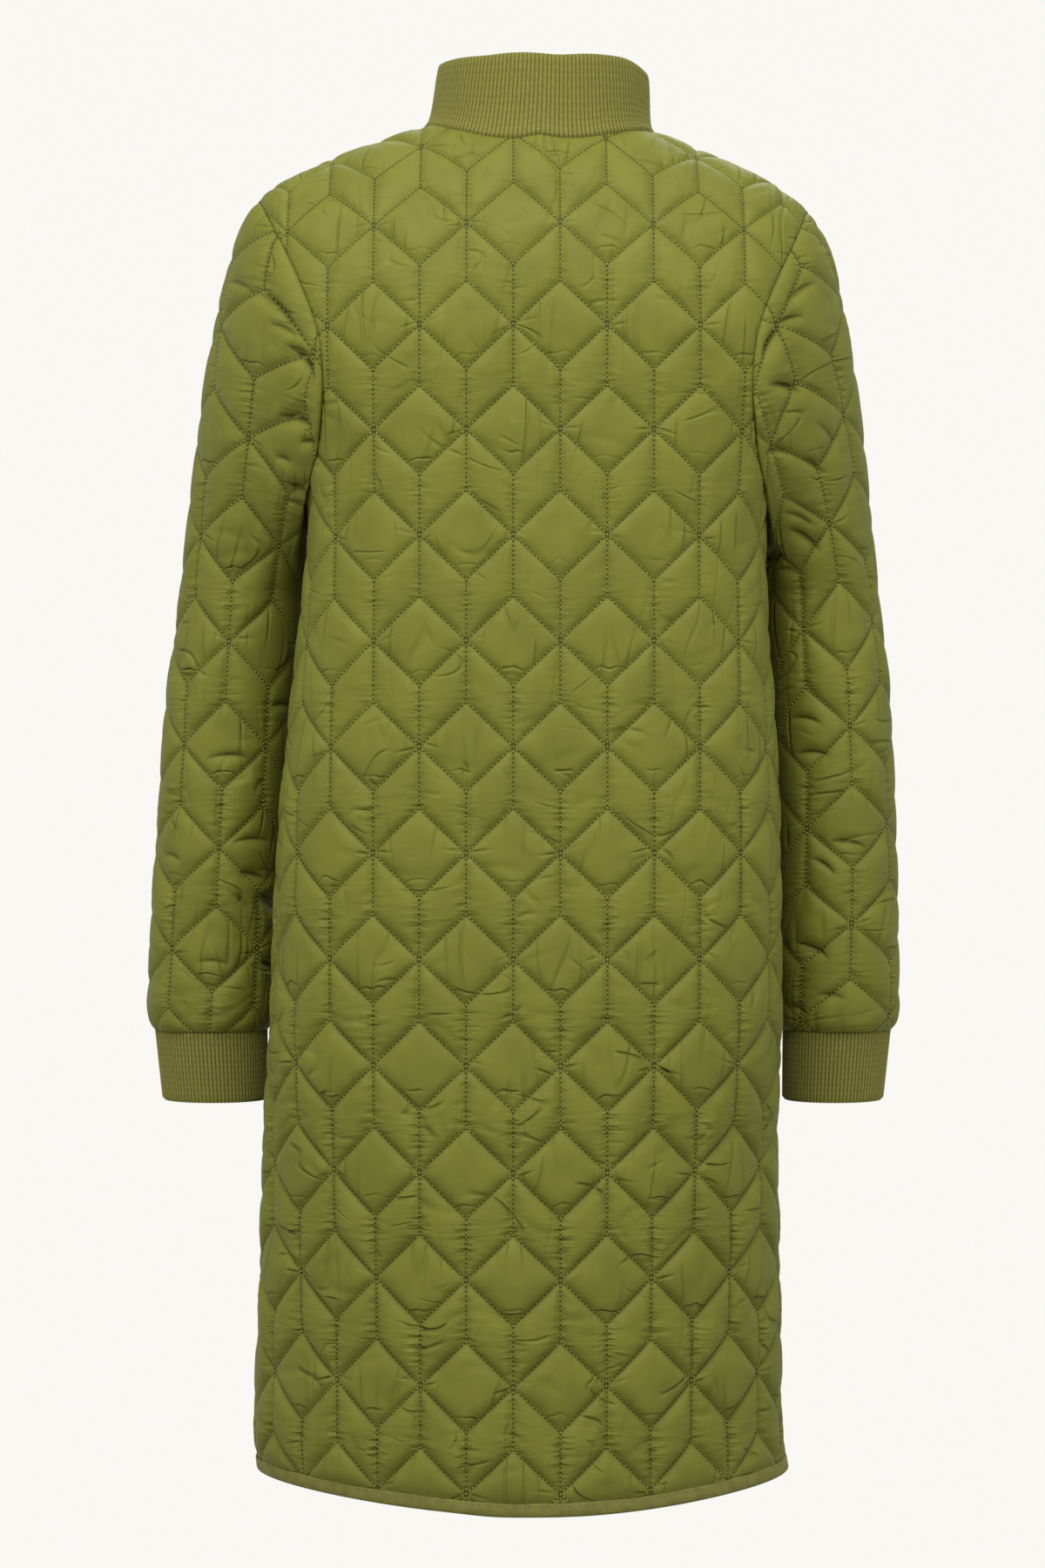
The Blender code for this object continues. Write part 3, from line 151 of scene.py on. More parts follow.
def linear(code: str) -> tuple[float, float, float, float]:
    """Turns an sRGB hex code to a linear colour.

    Args:
        code: Six hex digits.
    Returns:
        Red, green, blue and alpha.
    """
    values = [int(code[i:i + 2], 16) / 255 for i in (0, 2, 4)]
    red, green, blue = (v / 12.92 if v <= 0.04045 else ((v + 0.055) / 1.055) ** 2.4 for v in values)
    return red, green, blue, 1.0


def smooth_step(x: Array, low: float, high: float) -> Array:
    """An S-shaped step from 0 at low to 1 at high: 3tt - 2ttt of the share t between them."""
    t = np.clip((np.asarray(x, float) - low) / (high - low), 0, 1)
    return t * t * (3 - 2 * t)


def spaced(points: Array, count: int) -> Array:
    """The same line with so many points at equal distances."""
    run = run_along(points)
    return read(np.linspace(0, run[-1], count), run, points)


def read(wanted: Array, places: Array, rows: Array) -> Array:
    """Rows at the wanted places, straight between the given ones."""
    return np.stack([np.interp(wanted, places, column) for column in rows.T], axis=1)


def run_along(points: Array) -> Array:
    """The distance from the first point to each, along the line."""
    return np.concatenate([[0], np.cumsum(np.linalg.norm(np.diff(points, axis=0), axis=1))])


def unit(vectors: Array) -> Array:
    """The same vectors, each of length 1."""
    return vectors / np.linalg.norm(vectors, axis=-1, keepdims=True)


def hermite(s: Array, start: Array, leave: Array, end: Array, arrive: Array) -> Array:
    """A Hermite curve at each share s: the cubic that leaves start and arrives at end with those speeds."""
    return ((2 * s**3 - 3 * s**2 + 1) * start + (s**3 - 2 * s**2 + s) * leave
            + (3 * s**2 - 2 * s**3) * end + (s**3 - s**2) * arrive)


def smooth_curve(points: Array, count: int) -> Array:
    """Evenly spaced points on a Catmull-Rom curve through the given ones.

    Args:
        points: Points that the curve passes, one a row.
        count: How many points come back.
    Returns:
        The curve's points.
    """
    points = np.asarray(points, float)
    ends = np.vstack([2 * points[0] - points[1], points, 2 * points[-1] - points[-2]])
    t = np.linspace(0, 1, 12, endpoint=False)[:, None]
    pieces = []
    for a, b, c, d in zip(ends, ends[1:], ends[2:], ends[3:]):
        pieces.append(0.5 * (2 * b + (c - a) * t + (2 * a - 5 * b + 4 * c - d) * t**2
                             + (3 * b - a - 3 * c + d) * t**3))
    return spaced(np.vstack(pieces + [points[-1:]]), count)


def waves(x: Array, y: Array, across: float, along: float, seed: int, count: int = 9) -> Array:
    """Seeded smooth noise: the sum of sines that run at random headings.

    Args:
        x: Place across, in metres.
        y: Place along, in metres.
        across: Typical distance between crests across.
        along: Typical distance between crests along.
        seed: Seed of the headings, lengths and phases.
        count: How many sines are summed.
    Returns:
        Values that are mostly between -1 and 1.
    """
    draw = np.random.default_rng(seed)
    heading, length = draw.uniform(0, 2 * math.pi, count), draw.uniform(0.7, 1.5, count)
    phase = draw.uniform(0, 7, count)
    total = np.zeros(np.shape(x))
    for angle, size, start in zip(heading, length, phase):
        run = x * math.cos(angle) / across + y * math.sin(angle) / along
        total += np.sin(2 * math.pi * run / size + start)
    return total / math.sqrt(count)


def chance(first: Array, second: Array, seed: float) -> Array:
    """A repeatable share from 0 to 1 for each pair of whole numbers: the fraction of a large sine of them."""
    return np.modf(np.abs(np.sin(first * 12.9898 + second * 78.233 + seed * 37.719) * 43758.5453))[0]


def crease(value: Array, width: float) -> Array:
    """A rounded line of height 1 where value is 0: exp(-(value / width) squared)."""
    return np.exp(-((value / width) ** 2))


class Form:
    """A smooth form that cloth lies on, as a grid of points at equal steps of u across and v along."""

    STEP = 0.004

    def __init__(self, u: Array, v: Array, points: Array, outward: float, closed: bool) -> None:
        """Resamples columns of points to a regular grid, so that a cubic through it can be read anywhere.

        Args:
            u: The columns' places, at equal steps.
            v: Each column's rising heights along the cloth, one column a row.
            points: Each column's points.
            outward: 1 if u, v and the outward side follow the right hand, else -1.
            closed: Whether the last column is the first one again.
        """
        self.u_start, self.u_step, self.outward = u[0], u[1] - u[0], outward
        self.v_start = float(v[:, 0].min()) - 2 * self.STEP
        wanted = np.arange(self.v_start, v[:, -1].max() + 0.012, self.STEP)
        grid = np.empty((len(u), len(wanted), 3))
        for i, (heights, column) in enumerate(zip(v, points)):
            slope = (column[-1] - column[-2]) / (heights[-1] - heights[-2])
            past = np.maximum(wanted - heights[-1], 0)[:, None] * slope
            slope = (column[1] - column[0]) / (heights[1] - heights[0])
            past += np.minimum(wanted - heights[0], 0)[:, None] * slope
            grid[i] = read(wanted, heights, column) + past
        if closed:
            before, after = grid[-3:-1], grid[1:3]
        else:
            before, after = 2 * grid[0] - grid[2:0:-1], 2 * grid[-1] - grid[-2:-4:-1]
        self.grid = np.concatenate([before, grid, after])

    @staticmethod
    def weights(t: Array) -> list[Array]:
        """The four Catmull-Rom weights at a share t between two points."""
        return [0.5 * (-t**3 + 2 * t**2 - t), 0.5 * (3 * t**3 - 5 * t**2 + 2),
                0.5 * (-3 * t**3 + 4 * t**2 + t), 0.5 * (t**3 - t**2)]

    def at(self, u: Array, v: Array) -> Array:
        """Reads the form by a Catmull-Rom cubic both ways.

        Args:
            u: Places across.
            v: Places along.
        Returns:
            The points.
        """
        u, v = np.atleast_1d(u).astype(float), np.atleast_1d(v).astype(float)
        i = np.clip((u - self.u_start) / self.u_step + 2, 1, len(self.grid) - 2.0001)
        j = np.clip((v - self.v_start) / self.STEP, 1, self.grid.shape[1] - 2.0001)
        column, row = i.astype(int), j.astype(int)
        total = np.zeros((len(u), 3))
        for a, share in enumerate(self.weights(i - column)):
            beside = np.clip(column + a - 1, 0, len(self.grid) - 1)
            for b, other in enumerate(self.weights(j - row)):
                near = np.clip(row + b - 1, 0, self.grid.shape[1] - 1)
                total += (share * other)[:, None] * self.grid[beside, near]
        return total

    def normal(self, u: Array, v: Array, reach: float = 0.005) -> Array:
        """The outward direction, square to the form's differences across and along.

        Args:
            u: Places across.
            v: Places along.
            reach: How far to each side the differences are taken.
        Returns:
            The directions.
        """
        across = self.at(u + reach, v) - self.at(u - reach, v)
        along = self.at(u, v + reach) - self.at(u, v - reach)
        return unit(np.cross(across, along) * self.outward)

    def offset(self, u: Array, v: Array, rise: Array | float) -> Array:
        """The point that lies off the form by rise."""
        u, v = np.atleast_1d(u).astype(float), np.atleast_1d(v).astype(float)
        return self.at(u, v) + self.normal(u, v) * np.broadcast_to(rise, u.shape)[:, None]


class Torso:
    """The form of the coat's body, the same as in its solids."""

    SIDE = 0.30  # reach of the columns either way
    STEP = 0.004  # from column to column
    ARC = math.radians(112)  # each column's arc, past the ridge
    ROWS = 70
    BLUR = 0.018  # how far up and down a level's sizes are averaged, so that no level shows as a kink

    def __init__(self) -> None:
        """Makes the back's and the front's forms, by the face -1 and 1."""
        self.columns: dict[int, tuple[Array, Array]] = {}
        self.forms = {face: self.form(face) for face in (-1, 1)}

    def size(self, z: float, column: int) -> float:
        """A column of the sections' table at a height."""
        near = np.minimum(z + np.linspace(-self.BLUR, self.BLUR, 5), max(z, TORSO_SECTIONS[-1, 0]))
        return float(np.interp(near, TORSO_SECTIONS[:, 0], TORSO_SECTIONS[:, column]).mean())

    def ridge(self, x: Array) -> Array:
        """Height of the shoulder ridge, which goes on past its table in a straight line.

        Args:
            x: Places across.
        Returns:
            The heights.
        """
        lean = SHOULDER_LEAN * smooth_step(np.abs(x - NECK_MIDDLE), 0.04, 0.13)
        distance, table = np.abs(x - NECK_MIDDLE + lean), SHOULDER_RIDGE
        slope = (table[-1, 1] - table[-2, 1]) / (table[-1, 0] - table[-2, 0])
        return np.interp(distance, table[:, 0], table[:, 1]) + slope * np.maximum(distance - table[-1, 0], 0)

    def half_section(self, z: float, face: int) -> tuple[Array, Array, Array]:
        """The back or front half of a level section, a superellipse.

        Args:
            z: The level.
            face: -1 for the back, 1 for the front.
        Returns:
            Run, x and y from the -X side to the +X side.
        """
        t = np.linspace(-math.pi / 2, math.pi / 2, 901)
        power = 2 / (self.size(z, 4) if face < 0 else FRONT_SQUARENESS)
        x = self.size(z, 5) + self.size(z, 1) * np.sign(np.sin(t)) * np.abs(np.sin(t)) ** power
        y = face * self.size(z, 2 if face < 0 else 3) * np.abs(np.cos(t)) ** power
        return np.concatenate([[0], np.cumsum(np.hypot(np.diff(x), np.diff(y)))]), x, y

    def middle(self, z: float, face: int) -> float:
        """The x from which u is measured: the back's columns hang straight, the front's follow its zip."""
        return 0.0 if face < 0 else self.size(z, 5)

    def level(self, z: float, face: int, u: Array) -> tuple[Array, Array]:
        """The section at a level. It goes straight on past the side, so that the edge is smooth there.

        Args:
            z: The level.
            face: -1 for the back, 1 for the front.
            u: Places round it.
        Returns:
            x and y of each place.
        """
        run, x, y = self.half_section(z, face)
        along = u + np.interp(self.middle(z, face), x, run)
        past = np.maximum(along - run[-1], 0) + np.maximum(-along, 0)
        return np.interp(along, run, x), np.interp(along, run, y) - face * past

    def side(self, z: float, face: int, sign: int) -> float:
        """u of the side seam at a level."""
        run, x, _ = self.half_section(z, face)
        return float((run[-1] if sign > 0 else 0.0) - np.interp(self.middle(z, face), x, run))

    def depth_at(self, x: Array, face: int) -> Array:
        """Depth of the chest's section at x."""
        _, xs, ys = self.half_section(CHEST, face)
        return np.abs(np.interp(x, xs, ys))

    def form(self, face: int) -> Form:
        """One side's form: level sections, and above the chest an arc up each column and over the ridge.

        Args:
            face: -1 for the back, 1 for the front.
        Returns:
            The form.
        """
        u = np.arange(-self.SIDE, self.SIDE + 1e-9, self.STEP)
        hanging = np.linspace(TORSO_SECTIONS[0, 0] - 0.01, CHEST, self.ROWS)
        arc = np.linspace(0, self.ARC, self.ROWS)[1:]
        lower = np.stack([np.column_stack([*self.level(z, face, u), np.full(len(u), z)]) for z in hanging],
                         axis=1)
        x, y = self.level(CHEST, face, u)
        y = np.maximum(y * face, 0)
        rise = np.maximum(self.ridge(x) - CHEST, 0.02)
        depth = np.where(arc[None, :] < math.pi / 2, y[:, None], self.depth_at(x, -face)[:, None])
        upper = np.stack([np.broadcast_to(x[:, None], depth.shape), face * depth * np.cos(arc),
                          CHEST + rise[:, None] * np.sin(arc)], axis=-1)
        points = np.concatenate([lower, upper], axis=1)
        steps = np.linalg.norm(np.diff(points[:, len(hanging) - 1:], axis=1), axis=2)
        v = np.hstack([np.tile(hanging, (len(u), 1)), CHEST + np.cumsum(steps, axis=1)])
        self.columns[face] = (u, v)
        return Form(u, v, points, -face, closed=False)

    def place(self, face: int, x: float, z: float | None = None,
              y: float | None = None) -> tuple[float, float]:
        """Finds a point of a form from x and either its height or its depth.

        Args:
            face: -1 for the back, 1 for the front.
            x: The point's x.
            z: Its height, or None.
            y: Its depth from the middle plane, or None.
        Returns:
            Its u and v.
        """
        level = CHEST if z is None else min(z, CHEST)
        run, xs, _ = self.half_section(level, face)
        u = float(np.interp(x, xs, run) - np.interp(self.middle(level, face), xs, run))
        if level < CHEST:
            return u, level
        if y is None:
            angle = math.asin(min(1.0, (z - CHEST) / max(self.ridge(x) - CHEST, 1e-6)))
        else:
            angle = math.acos(np.clip(y * face / self.depth_at(x, face if y * face > 0 else -face), -1, 1))
        columns, v = self.columns[face]
        place = (u - columns[0]) / self.STEP
        column, share = int(place), place - int(place)
        run = (1 - share) * v[column, -self.ROWS:] + share * v[column + 1, -self.ROWS:]
        return u, float(np.interp(angle, np.linspace(0, self.ARC, self.ROWS), run))

    def neck(self, face: int, signs: tuple[int, int], count: int) -> Array:
        """Points (u, v) along the neck's edge on one form, from one side (-1, 0 or 1) to another."""
        angles = np.linspace(signs[0] * math.pi / 2, signs[1] * math.pi / 2, count)
        return np.array([self.neck_place(face, angle) for angle in angles])

    def neck_place(self, face: int, angle: float) -> tuple[float, float]:
        """The neck's edge is an ellipse on either face, drawn forward to the shoulder seam at its sides.

        Args:
            face: -1 for the back, 1 for the front.
            angle: From the centre back or front.
        Returns:
            u and v of its point.
        """
        depth = NECK_BACK if face < 0 else NECK_FRONT
        y = face * depth * abs(math.cos(angle)) + SHOULDER_SEAM_FORWARD * math.sin(angle) ** 6
        return self.place(face, NECK_MIDDLE + NECK_HALF_WIDTH * math.sin(angle), y=y)

    def armhole(self, face: int, sign: int, count: int) -> Array:
        """One armhole on one form, from the underarm to the shoulder seam.

        Args:
            face: -1 for the back, 1 for the front.
            sign: -1 for the wearer's left, 1 for the right.
            count: How many points come back.
        Returns:
            u and v of each point.
        """
        lean, table = self.size(UNDERARM, 5), ARMHOLE_BACK if face < 0 else ARMHOLE_FRONT
        places = [(self.side(UNDERARM, face, sign), UNDERARM)]
        places += [self.place(face, lean + sign * x, z=z) for x, z in table]
        places.append(self.place(face, lean + sign * SHOULDER_TIP[sign], y=SHOULDER_SEAM_FORWARD))
        return smooth_curve(places, count)

    def side_seam(self, face: int, sign: int) -> Array:
        """Points (u, v) down a side seam, from the underarm to the hem."""
        levels = np.linspace(UNDERARM, HEM_SIDE, 40)
        return np.array([(self.side(z, face, sign), z) for z in levels])

    def shoulder(self, face: int, sign: int) -> Array:
        """Points (u, v) along a shoulder seam, from the neck out to the armhole."""
        ends = NECK_MIDDLE + sign * NECK_HALF_WIDTH, self.size(UNDERARM, 5) + sign * SHOULDER_TIP[sign]
        return np.array([self.place(face, x, y=SHOULDER_SEAM_FORWARD) for x in np.linspace(*ends, 12)])


def hem_height(u: Array) -> Array:
    """Height of the hem, which dips a little to the centre back and front and rises sooner to -X."""
    low = 0.02 - 0.04 * smooth_step(-u, 0.0, 0.06)
    return HEM_SIDE + (HEM_BACK - HEM_SIDE) * (1 - smooth_step(np.abs(u), low, 0.26))


class SleeveForm:
    """The form of one sleeve and its cuff. Columns run down it, from the underarm seam round by the back."""

    ROUND = 0.325  # the cut width of the sleeve
    COLUMNS = 131
    MIDDLE_Y = 0.045
    CLEAR = 0.003  # from the widest line of the torso to the sleeve's inner edge
    CAP_END = -0.340  # below it the sleeve is a plain tube
    STATIONS = 34

    def __init__(self, torso: Torso, sign: int) -> None:
        """Joins the armhole's rim to the level rings by a curve that leaves both smoothly.

        Args:
            torso: The body's forms.
            sign: -1 for the wearer's left, 1 for the right.
        """
        self.torso, self.sign = torso, sign
        back = torso.armhole(-1, sign, self.STATIONS)
        front = torso.armhole(1, sign, self.STATIONS)[::-1]
        rims = [torso.forms[-1].at(*back.T), torso.forms[1].at(*front.T)]
        turns = [0.5 * half + 0.5 * run_along(rim) / run_along(rim)[-1] for half, rim in enumerate(rims)]
        self.turns = np.concatenate([turns[0], turns[1][1:]])
        self.rim = np.vstack([rims[0], rims[1][1:]])
        self.turn_grid = np.linspace(0, 1, self.COLUMNS)
        self.form, self.length = self.make_form()

    def ring(self, z: float, extra: float = 0.0) -> Array:
        """The level section of the sleeve by the turn: 0 inner, 0.25 back, 0.5 outer, 0.75 front.

        Args:
            z: The level.
            extra: How far it is drawn in all round, on top of its table.
        Returns:
            The points round it.
        """
        table = SLEEVE_SECTIONS[::-1]
        outer, half_depth, drawn, lean = read(np.array([z]), table[:, 0], table[:, 1:])[0]
        outer = self.sign * outer + lean
        inner = self.torso.size(z, 5) + self.sign * (self.torso.size(z, 1) + self.CLEAR)
        middle, half = (outer + inner) / 2, abs(outer - inner) / 2
        half, half_depth = half - drawn - extra, half_depth - drawn - extra
        angle = 2 * math.pi * self.turn_grid
        x, y = middle - self.sign * half * np.cos(angle), self.MIDDLE_Y - half_depth * np.sin(angle)
        return np.stack([x, y, np.full(self.COLUMNS, z)], axis=1)

    def make_form(self) -> tuple[Form, Array]:
        """A Hermite curve down each column from the rim to the tube, then the tube's rings.

        Returns:
            The form, and each column's length.
        """
        rim = read(self.turn_grid, self.turns, self.rim)
        levels = np.concatenate([np.linspace(self.CAP_END, -0.640, 60), np.linspace(-0.643, -0.6575, 8)])
        tube = np.stack([self.ring(z) for z in levels], axis=1)
        down = unit(tube[:, 3] - tube[:, 0])
        top = np.sin(math.pi * self.turn_grid)[:, None] ** 2  # 1 at the shoulder, 0 at the underarm
        out = unit(top * (self.sign * 0.66, 0, -0.75) + (1 - top) * (self.sign * 0.12, 0, -1.0))
        reach = np.linalg.norm(tube[:, 0] - rim, axis=1)[:, None, None] * 0.55
        s = np.linspace(0, 1, 60, endpoint=False)[None, :, None]
        cap = hermite(s, rim[:, None], out[:, None] * reach, tube[:, :1], down[:, None] * reach)
        points = np.concatenate([cap, tube], axis=1)[:, ::-1]
        steps = np.linalg.norm(np.diff(points, axis=1), axis=2)
        v = np.concatenate([np.zeros((self.COLUMNS, 1)), np.cumsum(steps, axis=1)], axis=1)
        return Form(self.turn_grid * self.ROUND, v, points, self.sign, closed=True), v[:, -1]

    def outline(self) -> Array:
        """Corners of the flat sleeve: straight hem and underarm edges, and the cap's curve."""
        turns = np.linspace(0.0006, 0.9994, 120)
        cap = np.column_stack([turns * self.ROUND, np.interp(turns, self.turn_grid, self.length) - 0.0004])
        return np.vstack([[(cap[0, 0], 0.0), (cap[-1, 0], 0.0)], cap[::-1]])


class CollarForm:
    """The form of the standing collar: from the neck's edge up to its top, open at the centre front."""

    TOP_BACK = 0.0465
    TOP_FRONT = -0.012
    TOP_HALF_WIDTH = 0.0745
    TOP_BACK_DEPTH = 0.062
    TOP_FRONT_DEPTH = 0.076
    TOP_MIDDLE = 0.0115
    SEAM_GAP = 0.0004
    TUCK = 0.003  # how far the foot goes down into the seam
    ROWS = 41
    # middle, width and depth of each dip in the top line
    TOP_DIPS = ((0.092, 0.014, 0.009), (0.022, 0.016, 0.0018), (-0.030, 0.012, 0.0008))

    def __init__(self, torso: Torso) -> None:
        """A Hermite curve at each angle round the neck, from the body's surface up to the top line.

        Args:
            torso: The body's forms.
        """
        angles = np.linspace(0, 2 * math.pi, 323)[1:-1]  # from the centre front round by +X and the back
        self.angles = angles[(angles > 0.02) & (angles < 2 * math.pi - 0.02)]
        foot, out = [], []
        for angle in self.angles:
            face = 1 if math.cos(angle) > 0 else -1
            place = torso.neck_place(face, angle)
            foot.append(torso.forms[face].at(*place)[0])
            out.append(torso.forms[face].normal(*np.array(place)[:, None])[0])
        foot_line, normal = np.array(foot), np.array(out)
        inward = unit(np.cross(np.gradient(foot_line, axis=0), normal))
        inward *= np.sign(((foot_line.mean(axis=0) - foot_line) * inward).sum(axis=1))[:, None]
        self.foot = foot_line + inward * self.SEAM_GAP
        share = (1 - np.cos(self.angles)) / 2  # 0 at the front, 1 at the back
        depth = np.where(np.cos(self.angles) > 0, self.TOP_FRONT_DEPTH, self.TOP_BACK_DEPTH)
        height = self.TOP_FRONT + (self.TOP_BACK - self.TOP_FRONT) * smooth_step(share, 0.0, 0.62)
        across = self.TOP_MIDDLE + self.TOP_HALF_WIDTH * np.sin(self.angles)
        for middle, width, dip in self.TOP_DIPS:
            height -= dip * crease(across - middle, width)
        self.top = np.stack([across, depth * np.cos(self.angles), height], axis=1)
        reach = np.linalg.norm(self.top - self.foot, axis=1, keepdims=True)
        s = np.linspace(0, 1, self.ROWS)[:, None, None]
        self.points = hermite(s, self.foot, inward * 0.55 * reach, self.top, (self.top - self.foot) * 0.9)
        self.points[0] -= normal * self.TUCK

    def rows(self, shares: Array, count: int) -> Array:
        """Level lines of the collar, each with its ends at the zip's edges and its points evenly spaced.

        Args:
            shares: The height of each line, as a share of the collar's.
            count: How many points each has.
        Returns:
            The lines, one a row.
        """
        lines = []
        for share in shares:
            line = self.points[int(round(share * (self.ROWS - 1)))]
            run, middle = run_along(line), line[[0, -1], 0].mean()
            first = np.interp(middle + FRONT_EDGE, line[:40, 0], run[:40])
            last = np.interp(middle - FRONT_EDGE, line[-40:, 0], run[-40:])
            lines.append(read(np.linspace(first, last, count), run, line))
        return np.array(lines)

    def centre_front(self, shares: Array) -> Array:
        """The middle of the collar's opening at each height share."""
        line = self.points[np.round(np.asarray(shares) * (self.ROWS - 1)).astype(int)]
        return (line[:, 0] + line[:, -1]) / 2


@dataclass(frozen=True)
class Quilting:
    """Tumbling blocks: rows of stars joined by diamonds and upright lines, the rows half a repeat apart.

    lay turns a place in the pattern (across, along, from one star) into u and v of the panel.
    """

    lay: Callable[[Array, Array], Array]
    rows: range
    columns: range
    half: float = 0.033  # half a repeat across
    pitch: float = 0.0745  # between rows of stars
    high: float = 0.0315  # half a diamond's height
    steps: int = 14  # of the lattice across half a repeat, and up each slanting line
    middle_steps: int = 5  # of the lattice up the stretch between the slanting lines

    @property
    def slope(self) -> float:
        """Rise of a slanting line."""
        return self.high / self.half

    @property
    def lean(self) -> float:
        """Cosine of a slanting line's angle, which turns a vertical gap into a distance."""
        return 1 / math.hypot(1, self.slope)

    def lattice(self) -> tuple[Array, Array, Array]:
        """Grid lines of the pattern, through which all its stitch lines pass corner to corner.

        Returns:
            x of each upright line, y of each level line, and whether each quad's cut rises to the right.
        """
        first, last = self.columns.start * self.steps, self.columns.stop * self.steps
        x = np.arange(first, last + 1) * self.half / self.steps
        band = np.concatenate([
            np.linspace(0, self.high, self.steps, endpoint=False),
            np.linspace(self.high, self.pitch - self.high, self.middle_steps, endpoint=False),
            np.linspace(self.pitch - self.high, self.pitch, self.steps, endpoint=False)])
        y = np.concatenate([row * self.pitch + band for row in self.rows] + [[self.rows.stop * self.pitch]])
        column = np.repeat(np.array(self.columns), self.steps)
        row = np.repeat(np.array(self.rows), len(band))
        return x, y, (column[:, None] + row[None, :]) % 2 == 0

    def cells(self, x: Array, y: Array) -> dict[str, Array]:
        """Looks up the cell of each place in the pattern.

        Args:
            x: Places across.
            y: Places along.
        Returns:
            kind (0 diamond, 1 or -1 a block whose slanting sides rise or fall), the cell's middle (middle_x,
            middle_y), the place from there (dx, dy), and the distances to its four sides (sides, nearest). A
            diamond's sides are its slanting lines, and a block's are its slanting lines and its upright ones.
        """
        column = np.floor(x / self.half + 1e-7)
        across = x - column * self.half
        odd = np.mod(column, 2)
        base = odd * self.pitch
        turn = np.floor((y - base) / (2 * self.pitch) + 1e-9)
        up = y - base - turn * 2 * self.pitch
        foot = base + turn * 2 * self.pitch
        k, half, high, pitch = self.slope, self.half, self.high, self.pitch
        edges = np.stack([across * k, pitch - high + across * k,
                          pitch + high - across * k, 2 * pitch - across * k])
        zone = (up[None] > edges + 1e-9).sum(axis=0)
        kind = np.choose(zone, [0, 1, 0, -1, 0])
        left = column * half
        middle_x = np.choose(zone, [left + half, left + half / 2, left, left + half / 2, left + half])
        middle_y = foot + np.choose(zone, [0, pitch / 2 + 0 * up, pitch, 1.5 * pitch, 2 * pitch])
        dx, dy = x - middle_x, y - middle_y
        diamond = [(high - a * k * dx - b * dy) * self.lean for a in (-1, 1) for b in (-1, 1)]
        gap = (pitch - high) / 2
        block = [(gap - (dy - kind * k * dx)) * self.lean, (gap + (dy - kind * k * dx)) * self.lean,
                 half / 2 - dx, half / 2 + dx]
        sides = np.where(kind[None] == 0, np.array(diamond), np.array(block))
        sides = np.maximum(sides, 0)
        return {"kind": kind, "middle_x": middle_x, "middle_y": middle_y, "sides": sides,
                "nearest": sides.min(axis=0), "dx": dx, "dy": dy}

    def stitches(self, pitch: float) -> tuple[Array, Array]:
        """Places and directions of the stitches along every line of the pattern.

        Args:
            pitch: Distance from one stitch to the next.
        Returns:
            The middle of each stitch and the direction along its line, one a row.
        """
        column, row = np.meshgrid(np.array(self.columns), np.array(self.rows), indexing="ij")
        star = (column + row) % 2 == 0
        stars = np.stack([column[star] * self.half, row[star] * self.pitch], axis=1)
        gap = self.pitch - self.high
        lines = [(0, gap), (0, -gap)] + [(a * self.half, b * self.high) for a in (-1, 1) for b in (-1, 1)]
        places, directions = [], []
        for line in np.array(lines):
            length = np.linalg.norm(line)
            count = int(length / pitch)
            first = 0.0 if line[0] == 0 and line[1] > 0 else 1.0  # one line has a stitch at the star itself
            shares = (np.arange(count) + first) / count
            places.append((stars[:, None] + shares[None, :, None] * line).reshape(-1, 2))
            directions.append(np.broadcast_to(line / length, places[-1].shape))
        return np.vstack(places), np.vstack(directions)


def body_quilting(column_start: float) -> Quilting:
    """The pattern of a body panel. Its rows lie a little lower above the chest.

    Args:
        column_start: u of a column of stars.
    Returns:
        The pattern.
    """
    row_start, yoke_drop = -0.9715, 0.001

    def lay(x: Array, y: Array) -> Array:
        """u and v of a place in the pattern."""
        v = row_start + y
        return np.stack([column_start + x, v - yoke_drop * smooth_step(v, -0.26, -0.16)], axis=1)

    return Quilting(lay, range(-1, 15), range(-10, 10))


def sleeve_quilting(sign: int) -> Quilting:
    """The pattern of a sleeve, which leans and spreads as the sleeve hangs.

    Args:
        sign: -1 for the wearer's left, 1 for the right.
    Returns:
        The pattern.
    """
    across, along = SLEEVE_LAY[sign]

    def lay(x: Array, y: Array) -> Array:
        """u and v of a place in the pattern."""
        shares = np.stack([np.ones(len(x)), x, y, x * y, y * y], axis=1)
        return np.stack([shares @ across, shares @ along], axis=1)

    return Quilting(lay, range(-2, 10), range(-4, 11))


def inside(points: Array, outline: Array) -> Array:
    """Finds flat points within a closed outline, by counting the sides that each is left of.

    Args:
        points: Flat points, one a row.
        outline: The outline's corners.
    Returns:
        Whether each point lies within.
    """
    x, y = points.T
    within = np.zeros(len(points), bool)
    for a, b in zip(outline, np.roll(outline, -1, axis=0)):
        if a[1] != b[1]:
            spans = (a[1] > y) != (b[1] > y)
            within ^= spans & (x < a[0] + (y - a[1]) / (b[1] - a[1]) * (b[0] - a[0]))
    return within


def flat_area(outline: Array) -> float:
    """Area within a closed outline, by the sum of its sides' cross products."""
    x, y = outline.T
    return float(abs((x * np.roll(y, -1) - np.roll(x, -1) * y).sum()) / 2)


def nearest_on(points: Array, outline: Array) -> tuple[Array, Array]:
    """The nearest place on a closed outline.

    Args:
        points: Flat points, one a row.
        outline: The outline's corners.
    Returns:
        Each point's nearest place and its distance.
    """
    best, place = np.full(len(points), np.inf), np.zeros_like(points)
    for a, b in zip(outline, np.roll(outline, -1, axis=0)):
        span = b - a
        t = np.clip((points - a) @ span / max(float(span @ span), 1e-14), 0, 1)
        here = a + t[:, None] * span
        distance = np.linalg.norm(points - here, axis=1)
        closer = distance < best
        best, place[closer] = np.where(closer, distance, best), here[closer]
    return place, best


